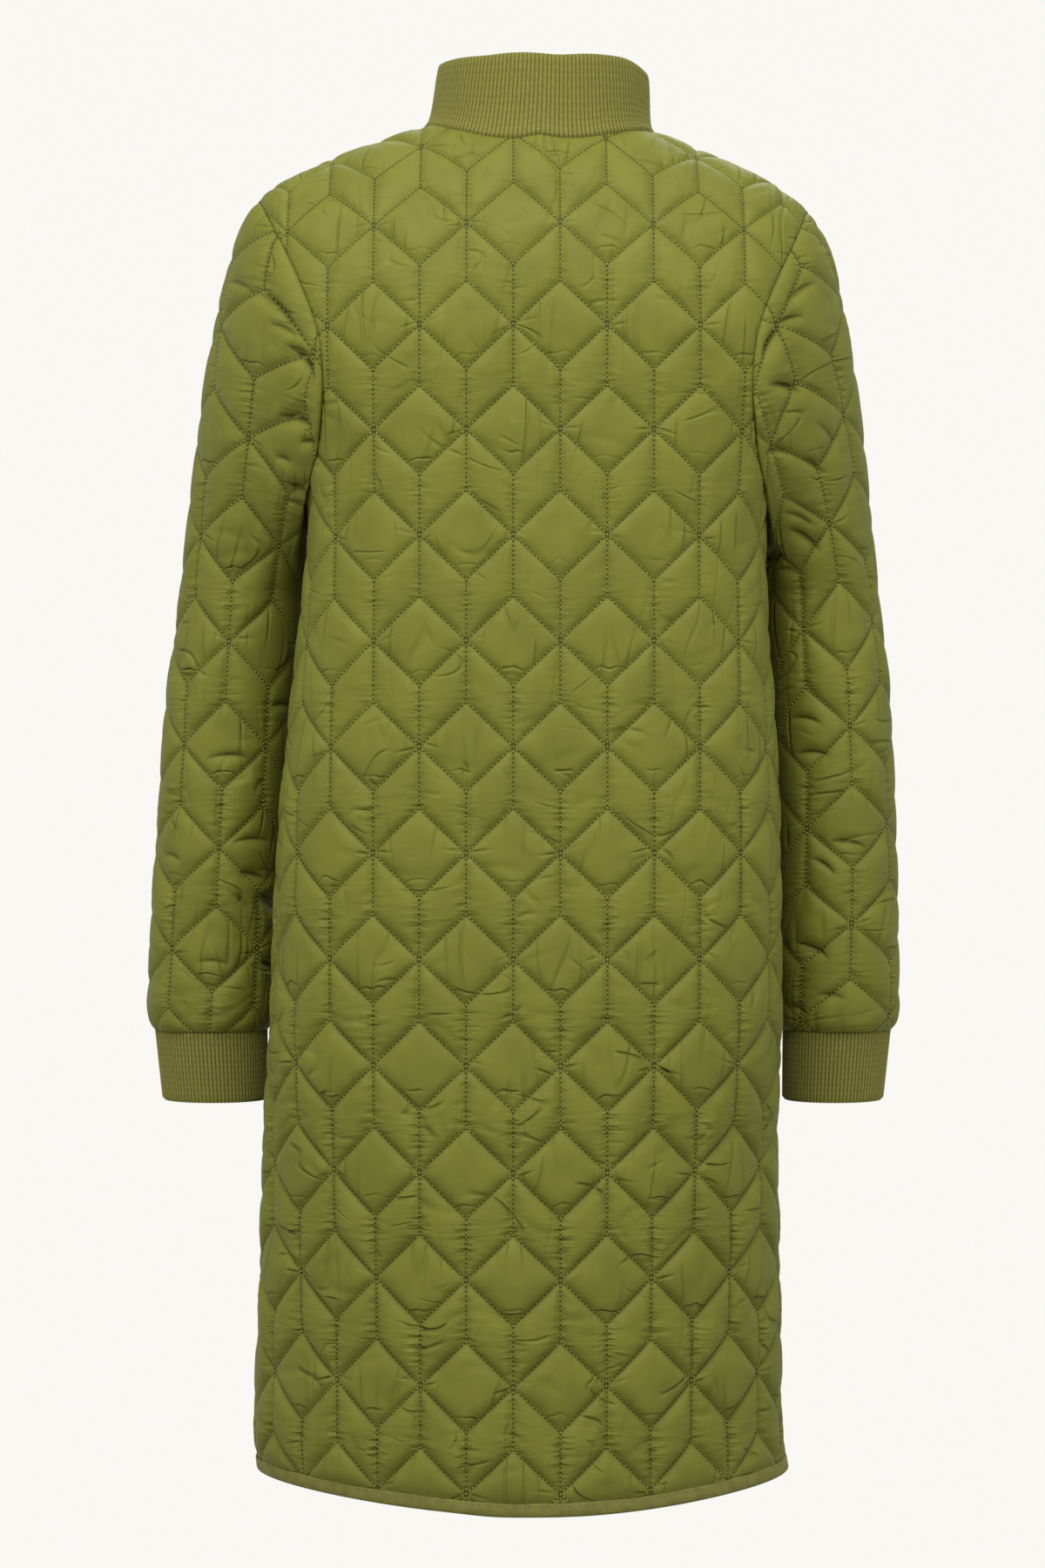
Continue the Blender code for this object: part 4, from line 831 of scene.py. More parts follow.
def mesh_object(name: str, points: Array, triangles: Array, flat: Array | None = None,
                marks: dict[str, Array] | None = None, smooth: bool = True) -> bpy.types.Object:
    """Puts points and triangles into a mesh whose object rides on the coat.

    Args:
        name: Name of the piece.
        points: Points, one a row.
        triangles: Point numbers of the triangles, seen anticlockwise from outside.
        flat: Each point's place on the flat cloth, in metres, kept as a UV map.
        marks: Values of each point that its material reads, by name.
        smooth: Whether it is shaded smooth.
    Returns:
        The object.
    """
    mesh = bpy.data.meshes.new(name)
    triangles = np.asarray(triangles, np.int32)
    mesh.vertices.add(len(points))
    mesh.vertices.foreach_set("co", np.asarray(points, np.float32).ravel())
    mesh.loops.add(triangles.size)
    mesh.loops.foreach_set("vertex_index", triangles.ravel())
    mesh.polygons.add(len(triangles))
    mesh.polygons.foreach_set("loop_start", np.arange(0, triangles.size, 3, dtype=np.int32))
    mesh.polygons.foreach_set("use_smooth", np.full(len(triangles), smooth))
    mesh.update(calc_edges=True)
    mesh.validate()
    if flat is not None:
        layer = mesh.uv_layers.new(name="cloth")
        layer.data.foreach_set("uv", np.asarray(flat, np.float32)[triangles.ravel()].ravel())
    for mark, values in (marks or {}).items():
        layer = mesh.attributes.new(mark, "FLOAT", "POINT")
        layer.data.foreach_set("value", np.asarray(values, np.float32))
    made = bpy.data.objects.new(name, mesh)
    bpy.context.scene.collection.objects.link(made)
    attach(made, "coat")
    log.info("%s: %d triangles", name, len(triangles))
    return made


def grid_triangles(rows: int, columns: int, wrap: bool = False) -> Array:
    """Triangles between the rows of a grid of points, numbered row by row.

    Args:
        rows: Number of rows.
        columns: Points in each row.
        wrap: Whether each row closes on itself.
    Returns:
        Point numbers, three a row.
    """
    row, column = np.meshgrid(np.arange(rows - 1), np.arange(columns if wrap else columns - 1), indexing="ij")
    a = row * columns + column
    b = row * columns + (column + 1) % columns
    c, d = b + columns, a + columns
    return np.concatenate([np.stack([a, b, c], -1).reshape(-1, 3), np.stack([a, c, d], -1).reshape(-1, 3)])


def boundary_loop(triangles: Array) -> Array:
    """Follows the edge of a patch of triangles round, with the patch on the left.

    Args:
        triangles: Point numbers, three a row.
    Returns:
        The numbers of the edge's points, in order.
    """
    ends = np.concatenate([triangles[:, [0, 1]], triangles[:, [1, 2]], triangles[:, [2, 0]]])
    size = int(triangles.max()) + 1
    forward = ends[:, 0].astype(np.int64) * size + ends[:, 1]
    backward = ends[:, 1].astype(np.int64) * size + ends[:, 0]
    edge = ends[~np.isin(forward, backward)]
    following = dict(zip(edge[:, 0].tolist(), edge[:, 1].tolist()))
    loop = [edge[0, 0]]
    while following[loop[-1]] != loop[0]:
        loop.append(following[loop[-1]])
    if len(loop) != len(edge):
        raise ValueError(f"the patch has more than one edge: {len(loop)} of {len(edge)}")
    return np.array(loop)


@dataclass(frozen=True)
class Folds:
    """Folds placed in the back view. The far side has them too, lower and turned the other way."""

    rows: Array
    shift: float = 31.0  # mm by which the far side's folds lie lower
    strength: float = 1.5
    bow: float = 0.4  # how far a fold bows from straight, as a share of its length over four

    def at(self, places: Array) -> tuple[Array, Array, Array]:
        """How the folds shape the cloth at some places.

        Args:
            places: Points, one a row.
        Returns:
            The rise (below 0), the mm from the nearest fold's line, and that fold's share of depth.
        """
        x, y, z = places.T / MM
        near = y < SleeveForm.MIDDLE_Y / MM
        z = np.where(near, z, z + self.shift)
        rise, best, line = np.zeros(len(x)), np.zeros(len(x)), np.full(len(x), 20.0)
        for x0, z0, x1, z1, width, depth in self.rows:
            length = math.hypot(x1 - x0, z1 - z0)
            run, climb = (x1 - x0) / length, (z1 - z0) / length * np.where(near, 1, -1)
            along = ((x - x0) * run + (z - z0) * climb) / length
            off = (z - z0) * run - (x - x0) * climb - self.bow * length * along * (1 - along)
            fade = np.clip(1 - (2 * along - 1) ** 2, 0, 1)
            rise -= self.strength * depth * MM * fade * crease(off, width)
            # the share of depth also sets how dark the painted shade in the fold is
            strength = np.minimum(depth / 3, 1) * fade * crease(off, 2.2 * width)
            line = np.where(strength > best, off, line)
            best = np.maximum(strength, best)
        return rise, line, best


@dataclass
class QuiltedPanel:
    """One cut piece of quilted cloth: a lattice of its pattern, laid on its form and raised into puffs."""

    name: str
    form: Form
    outline: Array
    corners: Array
    quilting: Quilting
    seed: int
    hem: Callable[[Array], Array] | None = None
    press: Callable[[Array, Array], Array] | None = None
    folds: Folds | None = None
    wall: float = 0.0028  # cloth at its stitch lines
    puff: float = 0.0041  # rise of the middle of a puff
    softness: float = 0.0036  # how far from a line a puff has most of its rise
    streak: float = 0.0005  # depth of the long creases that run down the cloth
    pucker: float = 0.0005  # rise of the puckers at the upright lines
    pucker_pitch: float = 0.0105
    crumple: float = 0.0008  # depth of the short creases that run across
    line_sink: float = 0.0003  # how deep the thread pulls the cloth in
    seam_reach: float = 0.006  # from a seam to where the cloth has most of its rise
    sleeve_looseness: float = 1.15  # how much the cloth wrinkles, against the body's middle
    body_looseness: tuple[float, float] = (1.65, 0.78)  # the same at the body's hem and at its waist
    stitch_pitch: float = 0.0031
    stitch_length: float = 0.0020
    stitch_width: float = 0.0015
    stitch_high: float = 0.0006
    stitch_sunk: float = 0.0004

    def relief(self, x: Array, y: Array, u: Array, v: Array) -> tuple[Array, Array]:
        """Height of the cloth over its form.

        The rise of a puff is the product over its cell's sides of 1 - exp(-distance / softness). Puckers are
        sines along the upright lines that die away from them, creases are long narrow noise, and all of it is
        pressed flat at the panel's seams.

        Args:
            x: Place across the pattern.
            y: Place along the pattern.
            u: Place across the form.
            v: Place along the form.
        Returns:
            The height, and the distance to the nearest stitch line.
        """
        cell = self.quilting.cells(x, y)
        sides, nearest = cell["sides"], cell["nearest"]
        own = self.luck(cell, 0)
        diamond = cell["kind"] == 0
        body = np.prod(1 - np.exp(-sides / self.softness), axis=0)
        loose = self.looseness(v)
        height = self.puff * (0.45 + 0.55 * loose) * np.where(diamond, 1.0, 1.06) * (0.84 + 0.32 * own) * body
        free = 1 - np.exp(-nearest / 0.003)

        streak = crease(waves(x, y, 0.024, 0.11, self.seed + 3, 14), 0.45)
        shown = smooth_step(waves(x, y, 0.045, 0.06, self.seed + 5), -0.5, 0.5)
        height -= self.streak * streak * shown * np.where(diamond, 1.0, 0.45) * free

        bend = 0.0035 * waves(x, y, 0.05, 0.05, self.seed + 1)
        run = y + bend + (own - 0.5) * np.abs(cell["dx"])
        pucker = np.sin(2 * math.pi * run / self.pucker_pitch + 6.28 * own)
        pucker *= smooth_step(waves(x, y, 0.03, 0.022, self.seed + 2), -0.7, 0.5)
        by_upright = ~diamond * np.exp(-np.minimum(sides[2], sides[3]) / 0.007)
        height += self.pucker * loose * pucker * by_upright * (1 - np.exp(-nearest / 0.002))

        crumple = crease(waves(x, y, 0.06, 0.034, self.seed + 4, 16), 0.4)
        shown = smooth_step(waves(x, y, 0.06, 0.05, self.seed + 6), 0.0, 0.9)
        height -= self.crumple * crumple * shown * loose * free

        _, to_seam = nearest_on(np.stack([u, v], axis=1), self.sewn)
        if self.hem is not None:
            to_seam = np.where(v - self.hem(u) < BINDING_HIGH - BINDING_LAP, 0, to_seam)
        height *= 1 - np.exp(-to_seam / self.seam_reach)
        if self.press is not None:
            height *= self.press(u, v)
        height -= self.line_sink * np.exp(-nearest / 0.001)
        if self.folds is not None:
            height += self.folds.at(self.form.at(u, v))[0] * smooth_step(to_seam, 0.0, 0.012)
        return height, nearest

    def luck(self, cell: dict[str, Array], which: int) -> Array:
        """A number from 0 to 1 for each cell of the pattern, drawn anew for each value of which."""
        column, row = cell["middle_x"] / self.quilting.half, cell["middle_y"] / self.quilting.pitch
        return chance(np.round(2 * column), np.round(2 * row), self.seed + which)

    def looseness(self, v: Array) -> Array:
        """How much the cloth wrinkles: on the body more towards the hem, on a sleeve the same all over."""
        ends = self.body_looseness if self.hem else (self.sleeve_looseness, self.sleeve_looseness)
        return np.interp(v, [-0.80, -0.35], ends)

    def wrinkles(self, x: Array, y: Array, u: Array, v: Array) -> dict[str, Array]:
        """Wrinkles finer than the mesh, each a line where its value is 0, in mm, and a depth from 0 to 1.

        A fold is one of those listed. An arc lies over the lowest corner of each diamond, and a pinch
        runs out of its side corners. A streak is where long smooth noise crosses 0, a crumple where shorter
        noise does, and ticks cross the upright lines above the stars.

        Args:
            x: Place across the pattern.
            y: Place along the pattern.
            u: Place across the form.
            v: Place along the form.
        Returns:
            The values of each point, by mark.
        """
        cell = self.quilting.cells(x, y)
        dx, dy, nearest = cell["dx"], cell["dy"], cell["nearest"]
        diamond = cell["kind"] == 0
        own, other, third = (self.luck(cell, k) for k in range(3))
        loose = self.looseness(v)
        clear = smooth_step(nearest, 0.0, 0.0035)
        gate = smooth_step(waves(x, y, 0.05, 0.07, self.seed + 7), -0.6, 0.5)
        off = dx - (own - 0.5) * 8 * MM
        arc = dy + (16 + 6 * other) * MM + (4 + 26 * third) * off**2
        arc += 0.0009 * waves(x, y, 0.012, 0.03, self.seed + 11)
        arc_depth = np.exp(-((off / (0.005 + 0.007 * other)) ** 4)) * loose
        side = np.sign(dx)
        pinch = dy + (own - 0.5) * 9 * MM - side * (other - 0.5) * 0.9 * (np.abs(dx) - self.quilting.half)
        pinch_depth = smooth_step(np.abs(dx), 0.010 + 0.010 * third, 0.026) * crease(dy, 0.009) * loose
        over_star = np.clip(1 - np.abs(dy + 8 * MM) / 0.021, 0, 1)
        aside = np.minimum(cell["sides"][2], cell["sides"][3])
        _, fold, fold_depth = self.folds.at(self.form.at(u, v)) if self.folds else (0, 20 + 0 * x, 0 * x)
        return {
            "fold": fold,
            "fold_depth": fold_depth,
            "arc": np.where(diamond, arc, 0.02) / MM,
            "arc_depth": np.where(diamond, arc_depth * (0.35 + 0.65 * gate) * clear, 0),
            "pinch": np.where(diamond, pinch, 0.02) / MM,
            "pinch_depth": np.where(diamond, pinch_depth * gate * clear, 0),
            "streak": waves(x, y, 0.020, 0.10, self.seed + 8, 14),
            "streak_depth": gate * clear * np.where(diamond, 1.0, 0.4),
            "crumple": waves(x, y, 0.075, 0.030, self.seed + 9, 16),
            "crumple_depth": smooth_step(waves(x, y, 0.05, 0.06, self.seed + 10), 0.2, 1.1) * clear * loose,
            "tick_depth": np.where(diamond, 0, np.exp(-aside / 0.006) * (0.3 + over_star)) * loose,
        }

    @property
    def sewn(self) -> Array:
        """The outline with its lowest edge at the top of the binding."""
        if self.hem is None:
            return self.outline
        line = self.outline.copy()
        at_hem = np.abs(line[:, 1] - self.hem(line[:, 0])) < 1e-6
        line[at_hem, 1] += BINDING_HIGH - BINDING_LAP
        return line

    def build(self) -> bpy.types.Object:
        """Cuts the lattice to the outline, lays and raises it, and closes it with a plain inside."""
        xs, ys, rising = self.quilting.lattice()
        x, y = (grid.ravel() for grid in np.meshgrid(xs, ys, indexing="ij"))
        flat = self.quilting.lay(x, y)
        number = np.arange(len(x)).reshape(len(xs), len(ys))
        corners = np.stack([number[:-1, :-1], number[1:, :-1], number[1:, 1:], number[:-1, 1:]], axis=-1)
        centres = flat[corners].mean(axis=2)
        keep = self.whole(inside(centres.reshape(-1, 2), self.outline).reshape(centres.shape[:2]))
        a, b, c, d = corners[keep].T
        cut = rising[keep]
        first = np.where(cut[:, None], np.stack([a, b, c], 1), np.stack([a, b, d], 1))
        second = np.where(cut[:, None], np.stack([a, c, d], 1), np.stack([b, c, d], 1))
        triangles = np.concatenate([first, second])
        used, triangles = np.unique(triangles, return_inverse=True)
        triangles = triangles.reshape(-1, 3)
        x, y, flat = x[used], y[used], flat[used]
        loop = boundary_loop(triangles)
        flat[loop] = nearest_on(flat[loop], self.outline)[0]
        for corner in self.corners:
            flat[loop[np.linalg.norm(flat[loop] - corner, axis=1).argmin()]] = corner
        height, nearest = self.relief(x, y, flat[:, 0], flat[:, 1])
        outer = self.form.offset(flat[:, 0], flat[:, 1], height)

        inner_flat, inner_triangles = self.plain_inside(flat[loop])
        inner = self.form.offset(inner_flat[:, 0], inner_flat[:, 1], -self.wall)
        start, count = len(outer), len(loop)
        after = np.roll(np.arange(count), -1)
        rim = np.concatenate([
            np.stack([loop[after], loop, start + np.arange(count)], 1),
            np.stack([loop[after], start + np.arange(count), start + after], 1)])
        faces = np.concatenate([triangles, inner_triangles[:, ::-1] + start, rim])
        if self.form.outward < 0:
            faces = faces[:, ::-1]
        # from_line and fold_depth also set the painted shade along the stitch lines and inside the folds
        marks = {"from_line": nearest / MM, **self.wrinkles(x, y, *flat.T)}
        rest = {"from_line": 20.0, "fold": 20.0, "arc": 20.0, "pinch": 20.0, "streak": 2.0, "crumple": 2.0}
        marks = {mark: np.concatenate([values, np.full(len(inner), rest.get(mark, 0.0))])
                 for mark, values in marks.items()}
        return mesh_object(self.name, np.vstack([outer, inner]), faces, flat=np.vstack([flat, inner_flat]),
                           marks=marks)

    @staticmethod
    def whole(keep: Array) -> Array:
        """Leaves out quads that hang by a corner or a side, so that the patch has one clean edge.

        Args:
            keep: Which quads of the lattice are kept.
        Returns:
            The same without the ones left out.
        """
        for _ in range(6):
            wide = np.pad(keep, 1)
            level = wide[:-2, 1:-1].astype(int) + wide[2:, 1:-1]
            upright = wide[1:-1, :-2].astype(int) + wide[1:-1, 2:]
            keep = keep & (level > 0) & (upright > 0)
            wide = np.pad(keep, ((0, 1), (0, 1)))
            a, b, c, d = wide[:-1, :-1], wide[1:, :-1], wide[1:, 1:], wide[:-1, 1:]
            pinched = (a & c & ~b & ~d) | (b & d & ~a & ~c)
            keep = keep | pinched
        return keep

    def plain_inside(self, edge: Array) -> tuple[Array, Array]:
        """Fills the panel's edge with a coarse mesh of triangles.

        Args:
            edge: The flat points of the edge, in order.
        Returns:
            The flat points, the edge's first, and the triangles.
        """
        low, high = edge.min(axis=0), edge.max(axis=0)
        grid = np.stack(np.meshgrid(np.arange(low[0], high[0], 0.016), np.arange(low[1], high[1], 0.02),
                                    indexing="ij"), axis=-1).reshape(-1, 2)
        grid = grid[inside(grid, edge)]
        grid = grid[nearest_on(grid, edge)[1] > 0.010]
        points = np.vstack([edge, grid])
        count = len(edge)
        sides = [(i, (i + 1) % count) for i in range(count)]
        flat = [Vector(p) for p in points.tolist()]
        found = geometry.delaunay_2d_cdt(flat, sides, [list(range(count))], 0, 1e-9, True)
        within = np.array([len(faces) > 0 for faces in found[5]])
        triangles = np.array(found[2])[within]
        source = np.array([origins[0] if origins else -1 for origins in found[3]])
        return points, source[triangles]

    def stitch(self) -> bpy.types.Object:
        """Sews the panel: a small thread bump at every stitch of every line, its ends just over the cloth."""
        middle, direction = self.quilting.stitches(self.stitch_pitch)
        flat = self.quilting.lay(*middle.T)
        keep = inside(flat, self.sewn) & (nearest_on(flat, self.sewn)[1] > 0.0018)
        middle, direction = middle[keep], direction[keep]
        ends = []
        for share in (-0.5, 0.5):
            x, y = (middle + direction * self.stitch_length * share).T
            flat = self.quilting.lay(x, y)
            height, _ = self.relief(x, y, flat[:, 0], flat[:, 1])
            ends.append(self.form.offset(flat[:, 0], flat[:, 1], height + 0.0003))
        flat = self.quilting.lay(*middle.T)
        normal = self.form.normal(flat[:, 0], flat[:, 1])
        aside = unit(np.cross(normal, ends[1] - ends[0])) * self.stitch_width / 2
        centre = (ends[0] + ends[1]) / 2 + normal * 0.0002
        return sew(f"{self.name}_stitching", ends, centre, aside, normal * self.stitch_high,
                   normal * self.stitch_sunk)


def sew(name: str, ends: list[Array], middle: Array, aside: Array, over: Array,
        under: Array) -> bpy.types.Object:
    """A piece made of stitches, each a stretched octahedron.

    Args:
        name: Name of the piece.
        ends: Both ends of each stitch.
        middle: The middle of each stitch.
        aside: From there to its side, which lies to the left of its run.
        over: From there to its top.
        under: From there down to its foot.
    Returns:
        The piece.
    """
    points = np.stack([*ends, middle + aside, middle - aside, middle + over, middle - under], axis=1)
    shape = np.array([(0, 2, 4), (2, 1, 4), (1, 3, 4), (3, 0, 4), (2, 0, 5), (1, 2, 5), (3, 1, 5), (0, 3, 5)])
    triangles = np.arange(len(points))[:, None, None] * points.shape[1] + shape
    return mesh_object(name, points.reshape(-1, 3), triangles.reshape(-1, 3))


def ribbed_wall(name: str, rows: Array, closed: bool, outward: float, wall: float,
                round_top: bool = True) -> bpy.types.Object:
    """A ribbed wall with rounded edges, knitted in one with its inside.

    The rows are carried round a closed section: up the outside, over the top edge and down the inside. The
    outside is raised by the square root of a sine's size, which gives round ribs and narrow valleys, and the
    inside has the same ribs at 0.4 of the rise. Rows of loops make each rib swell a little.

    Args:
        name: Name of the piece.
        rows: Lines of the outside from the foot to the top, all with the same number of points.
        closed: Whether each row closes on itself.
        outward: 1 or -1, the side on which the outside lies.
        wall: Thickness of the wall.
        round_top: Whether the last row is a rounded edge. If not, it is sewn flat against another piece.
    Returns:
        The wall.
    """
    levels, count = rows.shape[:2]
    across = np.roll(rows, -1, axis=1) - np.roll(rows, 1, axis=1) if closed else np.gradient(rows, axis=1)
    along = np.gradient(rows, axis=0)
    normal = unit(np.cross(across, along) * outward)
    ribs = np.abs(np.sin(math.pi * np.arange(count) / PER_RIB))
    valley, ribs = ribs, np.sqrt(ribs)[None, :, None] * RIB_RISE
    length = np.linalg.norm(np.diff(rows, axis=0), axis=2).mean(axis=1).sum()
    height = np.linspace(0, length, levels)
    loops = 1 + 0.10 * np.sin(2 * math.pi * height / LOOP_PITCH)[:, None, None]
    to_edge = np.minimum(height, length - height if round_top else length)
    turned = np.sqrt(np.clip(1 - (1 - to_edge / (0.7 * wall)).clip(0, 1) ** 2, 0, 1))
    half = wall / 2 * turned[:, None, None]
    middle = rows - normal * wall / 2
    outer = middle + normal * (half + ribs * loops * turned[:, None, None])
    inner = middle - normal * (half + 0.4 * ribs * turned[:, None, None])
    turns = 2 * levels
    triangles = grid_triangles(turns, count, wrap=closed)
    a = np.arange(count if closed else count - 1)
    b = (a + 1) % count
    last = (turns - 1) * count
    foot = [np.stack([last + a, last + b, b], 1), np.stack([last + a, b, a], 1)]
    triangles = np.concatenate([triangles, *foot])
    if not closed:
        for column, turn in ((0, 1), (count - 1, -1)):
            out = np.arange(levels) * count + column
            back = (turns - 1 - np.arange(levels)) * count + column
            cap = np.concatenate([np.stack([out[:-1], out[1:], back[1:]], 1),
                                  np.stack([out[:-1], back[1:], back[:-1]], 1)])
            triangles = np.concatenate([triangles, cap[:, ::turn]])
    run = np.arange(count) * RIB_PITCH / PER_RIB
    flat = np.stack(np.broadcast_arrays(run, height[:, None]), axis=-1)
    if outward < 0:
        triangles = triangles[:, ::-1]
    points, cloth = np.concatenate([outer, inner[::-1]]), np.concatenate([flat, flat[::-1]])
    # the rib mark is 0 in the valleys, where the knit's material paints shade
    return mesh_object(name, points.reshape(-1, 3), triangles, flat=cloth.reshape(-1, 2),
                       marks={"rib": np.tile(valley, turns)})


# What a node's inputs hold, by name or number: constants, and outputs to link from
Values = dict[str | int, object]


class NodeTree:
    """A material's nodes, added one at a time round its one shader."""

    def __init__(self, name: str) -> None:
        """Starts a material of that name."""
        self.material = bpy.data.materials.new(name)
        self.material.use_nodes = True
        self.nodes, self.links = self.material.node_tree.nodes, self.material.node_tree.links

    def add(self, kind: str, values: Values, out: int | str = 0, **settings: object) -> bpy.types.NodeSocket:
        """Adds a node with its settings and its links.

        Args:
            kind: The node's type, without the word ShaderNode in front.
            values: What its inputs hold.
            out: The output that comes back.
            settings: The node's own settings.
        Returns:
            The output.
        """
        node = self.nodes.new(f"ShaderNode{kind}")
        for key, value in settings.items():
            setattr(node, key, value)
        self.fill(node, values)
        return node.outputs[out]

    def fill(self, node: bpy.types.Node, values: Values) -> None:
        """Puts constants and links into a node's inputs.

        Args:
            node: The node.
            values: What its inputs hold.
        """
        for key, value in values.items():
            if isinstance(value, bpy.types.NodeSocket):
                self.links.new(value, node.inputs[key])
            else:
                node.inputs[key].default_value = value

    def finish(self, values: Values) -> bpy.types.Material:
        """Fills the shader's inputs, and returns the material."""
        self.fill(self.nodes["Principled BSDF"], values)
        return self.material


class ThreadDye(enum.Enum):
    """The dye of each of the coat's threads, as an sRGB hex code."""

    QUILTING = "928E43"
    HEM = "6A6829"


COLOUR = {"out": 2, "data_type": "RGBA"}  # of a Mix node, whose inputs are 0 (share), 6 and 7 (two colours)
SOFT = {"interpolation_type": "SMOOTHSTEP"}  # of a Map Range node: 0 (value), 1 and 2 (from), 3 and 4 (to)


def per_metre(size: float) -> float:
    """The scale of a pattern whose grains are so many millimetres apart."""
    return 1000 / size


@dataclass(frozen=True)
class QuiltedMicrofibre:
    """Polyester microfibre, woven fine and calendered, so it has a soft satin gleam and no visible thread.

    Sizes are in millimetres. Its weave is too fine to show, so it is drawn coarser.
    """

    code: str = "686A25"
    dark: str = "4C4E19"
    # painted shade, mixed in along the stitched grooves and inside the folds
    painted_shade: str = "2A2A08"
    sheen: str = "A9AB5A"
    dye_patch: float = 26.3
    groove: float = 1.3  # mm on each side of a stitch line that is darkened with painted shade
    fold_shade_width: float = 1.9  # mm on each side of a fold's line that is darkened with painted shade
    # grooves drawn as a bump: the mark that is 0 along them, their half width in its units, their depth (m)
    wrinkles: tuple = (("fold", 2.4, 0.0040), ("arc", 1.7, 0.0013), ("pinch", 2.2, 0.0012),
                       ("streak", 0.55, 0.0011), ("crumple", 0.26, 0.0012))
    tick: tuple[float, float] = (14.3, 3.85)  # a gather across an upright line, long and wide
    pucker: tuple[float, float] = (5.0, 2.38)  # a pucker at any line
    weave: tuple[float, float] = (8.33, 0.77)

    def colour(self, tree: NodeTree) -> bpy.types.NodeSocket:
        """The colour: uneven in its dye, with painted shade in the stitched grooves and inside folds.

        Args:
            tree: The material's nodes.
        Returns:
            The colour.
        """
        line = tree.add("Attribute", {}, "Fac", attribute_name="from_line")
        place = tree.add("TexCoord", {}, "Object")
        dye = tree.add("TexNoise", {"Vector": place, "Scale": per_metre(self.dye_patch), "Detail": 3.0})
        share = tree.add("MapRange", {0: dye, 1: 0.35, 2: 0.65, 3: 0.0, 4: 0.22}, **SOFT)
        base = tree.add("Mix", {0: share, 6: linear(self.code), 7: linear(self.dark)}, **COLOUR)
        # painted shade along the stitch lines
        share = tree.add("MapRange", {0: line, 1: 0.0, 2: self.groove, 3: 0.7, 4: 0.0}, **SOFT)
        base = tree.add("Mix", {0: share, 6: base, 7: linear(self.painted_shade)}, **COLOUR)
        # painted shade inside the folds, darker where the fold is deeper
        fold = tree.add("Attribute", {}, "Fac", attribute_name="fold")
        off = tree.add("Math", {0: fold}, operation="ABSOLUTE")
        core = tree.add("MapRange", {0: off, 1: 0.0, 2: self.fold_shade_width, 3: 0.8, 4: 0.0}, **SOFT)
        depth = tree.add("Attribute", {}, "Fac", attribute_name="fold_depth")
        share = tree.add("Math", {0: core, 1: depth}, operation="MULTIPLY")
        return tree.add("Mix", {0: share, 6: base, 7: linear(self.painted_shade)}, **COLOUR)

    def relief(self, tree: NodeTree) -> bpy.types.NodeSocket:
        """The relief that is finer than the mesh: wrinkles, gathers across the lines, puckers and weave.

        Args:
            tree: The material's nodes.
        Returns:
            The normal.
        """
        line = tree.add("Attribute", {}, "Fac", attribute_name="from_line")
        normal = {}
        for mark, width, depth in self.wrinkles:
            value = tree.add("Attribute", {}, "Fac", attribute_name=mark)
            off = tree.add("Math", {0: value}, operation="ABSOLUTE")
            groove = tree.add("MapRange", {0: off, 1: 0.0, 2: width, 3: 0.0, 4: 1.0}, **SOFT)
            share = tree.add("Attribute", {}, "Fac", attribute_name=f"{mark}_depth")
            values = {"Strength": share, "Distance": depth, "Height": groove, **normal}
            normal["Normal"] = tree.add("Bump", values)
        cloth = tree.add("UVMap", {}, uv_map="cloth")
        ticked = tree.add("Attribute", {}, "Fac", attribute_name="tick_depth")
        by_line = tree.add("MapRange", {0: line, 1: 0.3, 2: 4.0, 3: 0.5, 4: 0.0}, **SOFT)
        for strength, grain, depth in ((ticked, self.tick, 0.0035), (by_line, self.pucker, 0.0012),
                                       (0.3, self.weave, 0.0003)):
            scale = (per_metre(grain[0]), per_metre(grain[1]), 1.0)
            flat = tree.add("Mapping", {"Vector": cloth, "Scale": scale})
            noise = tree.add("TexNoise", {"Vector": flat, "Scale": 1.0, "Detail": 1.0})
            values = {"Strength": strength, "Distance": depth, "Height": noise, **normal}
            normal["Normal"] = tree.add("Bump", values)
        return normal["Normal"]

    def make(self) -> bpy.types.Material:
        """Joins the colour and the relief, and returns the material."""
        tree = NodeTree("quilted_microfibre")
        return tree.finish({"Base Color": self.colour(tree), "Normal": self.relief(tree),
                            "Roughness": 0.64, "Specular IOR Level": 0.16, "Sheen Weight": 0.03,
                            "Sheen Roughness": 0.4, "Sheen Tint": linear(self.sheen)})


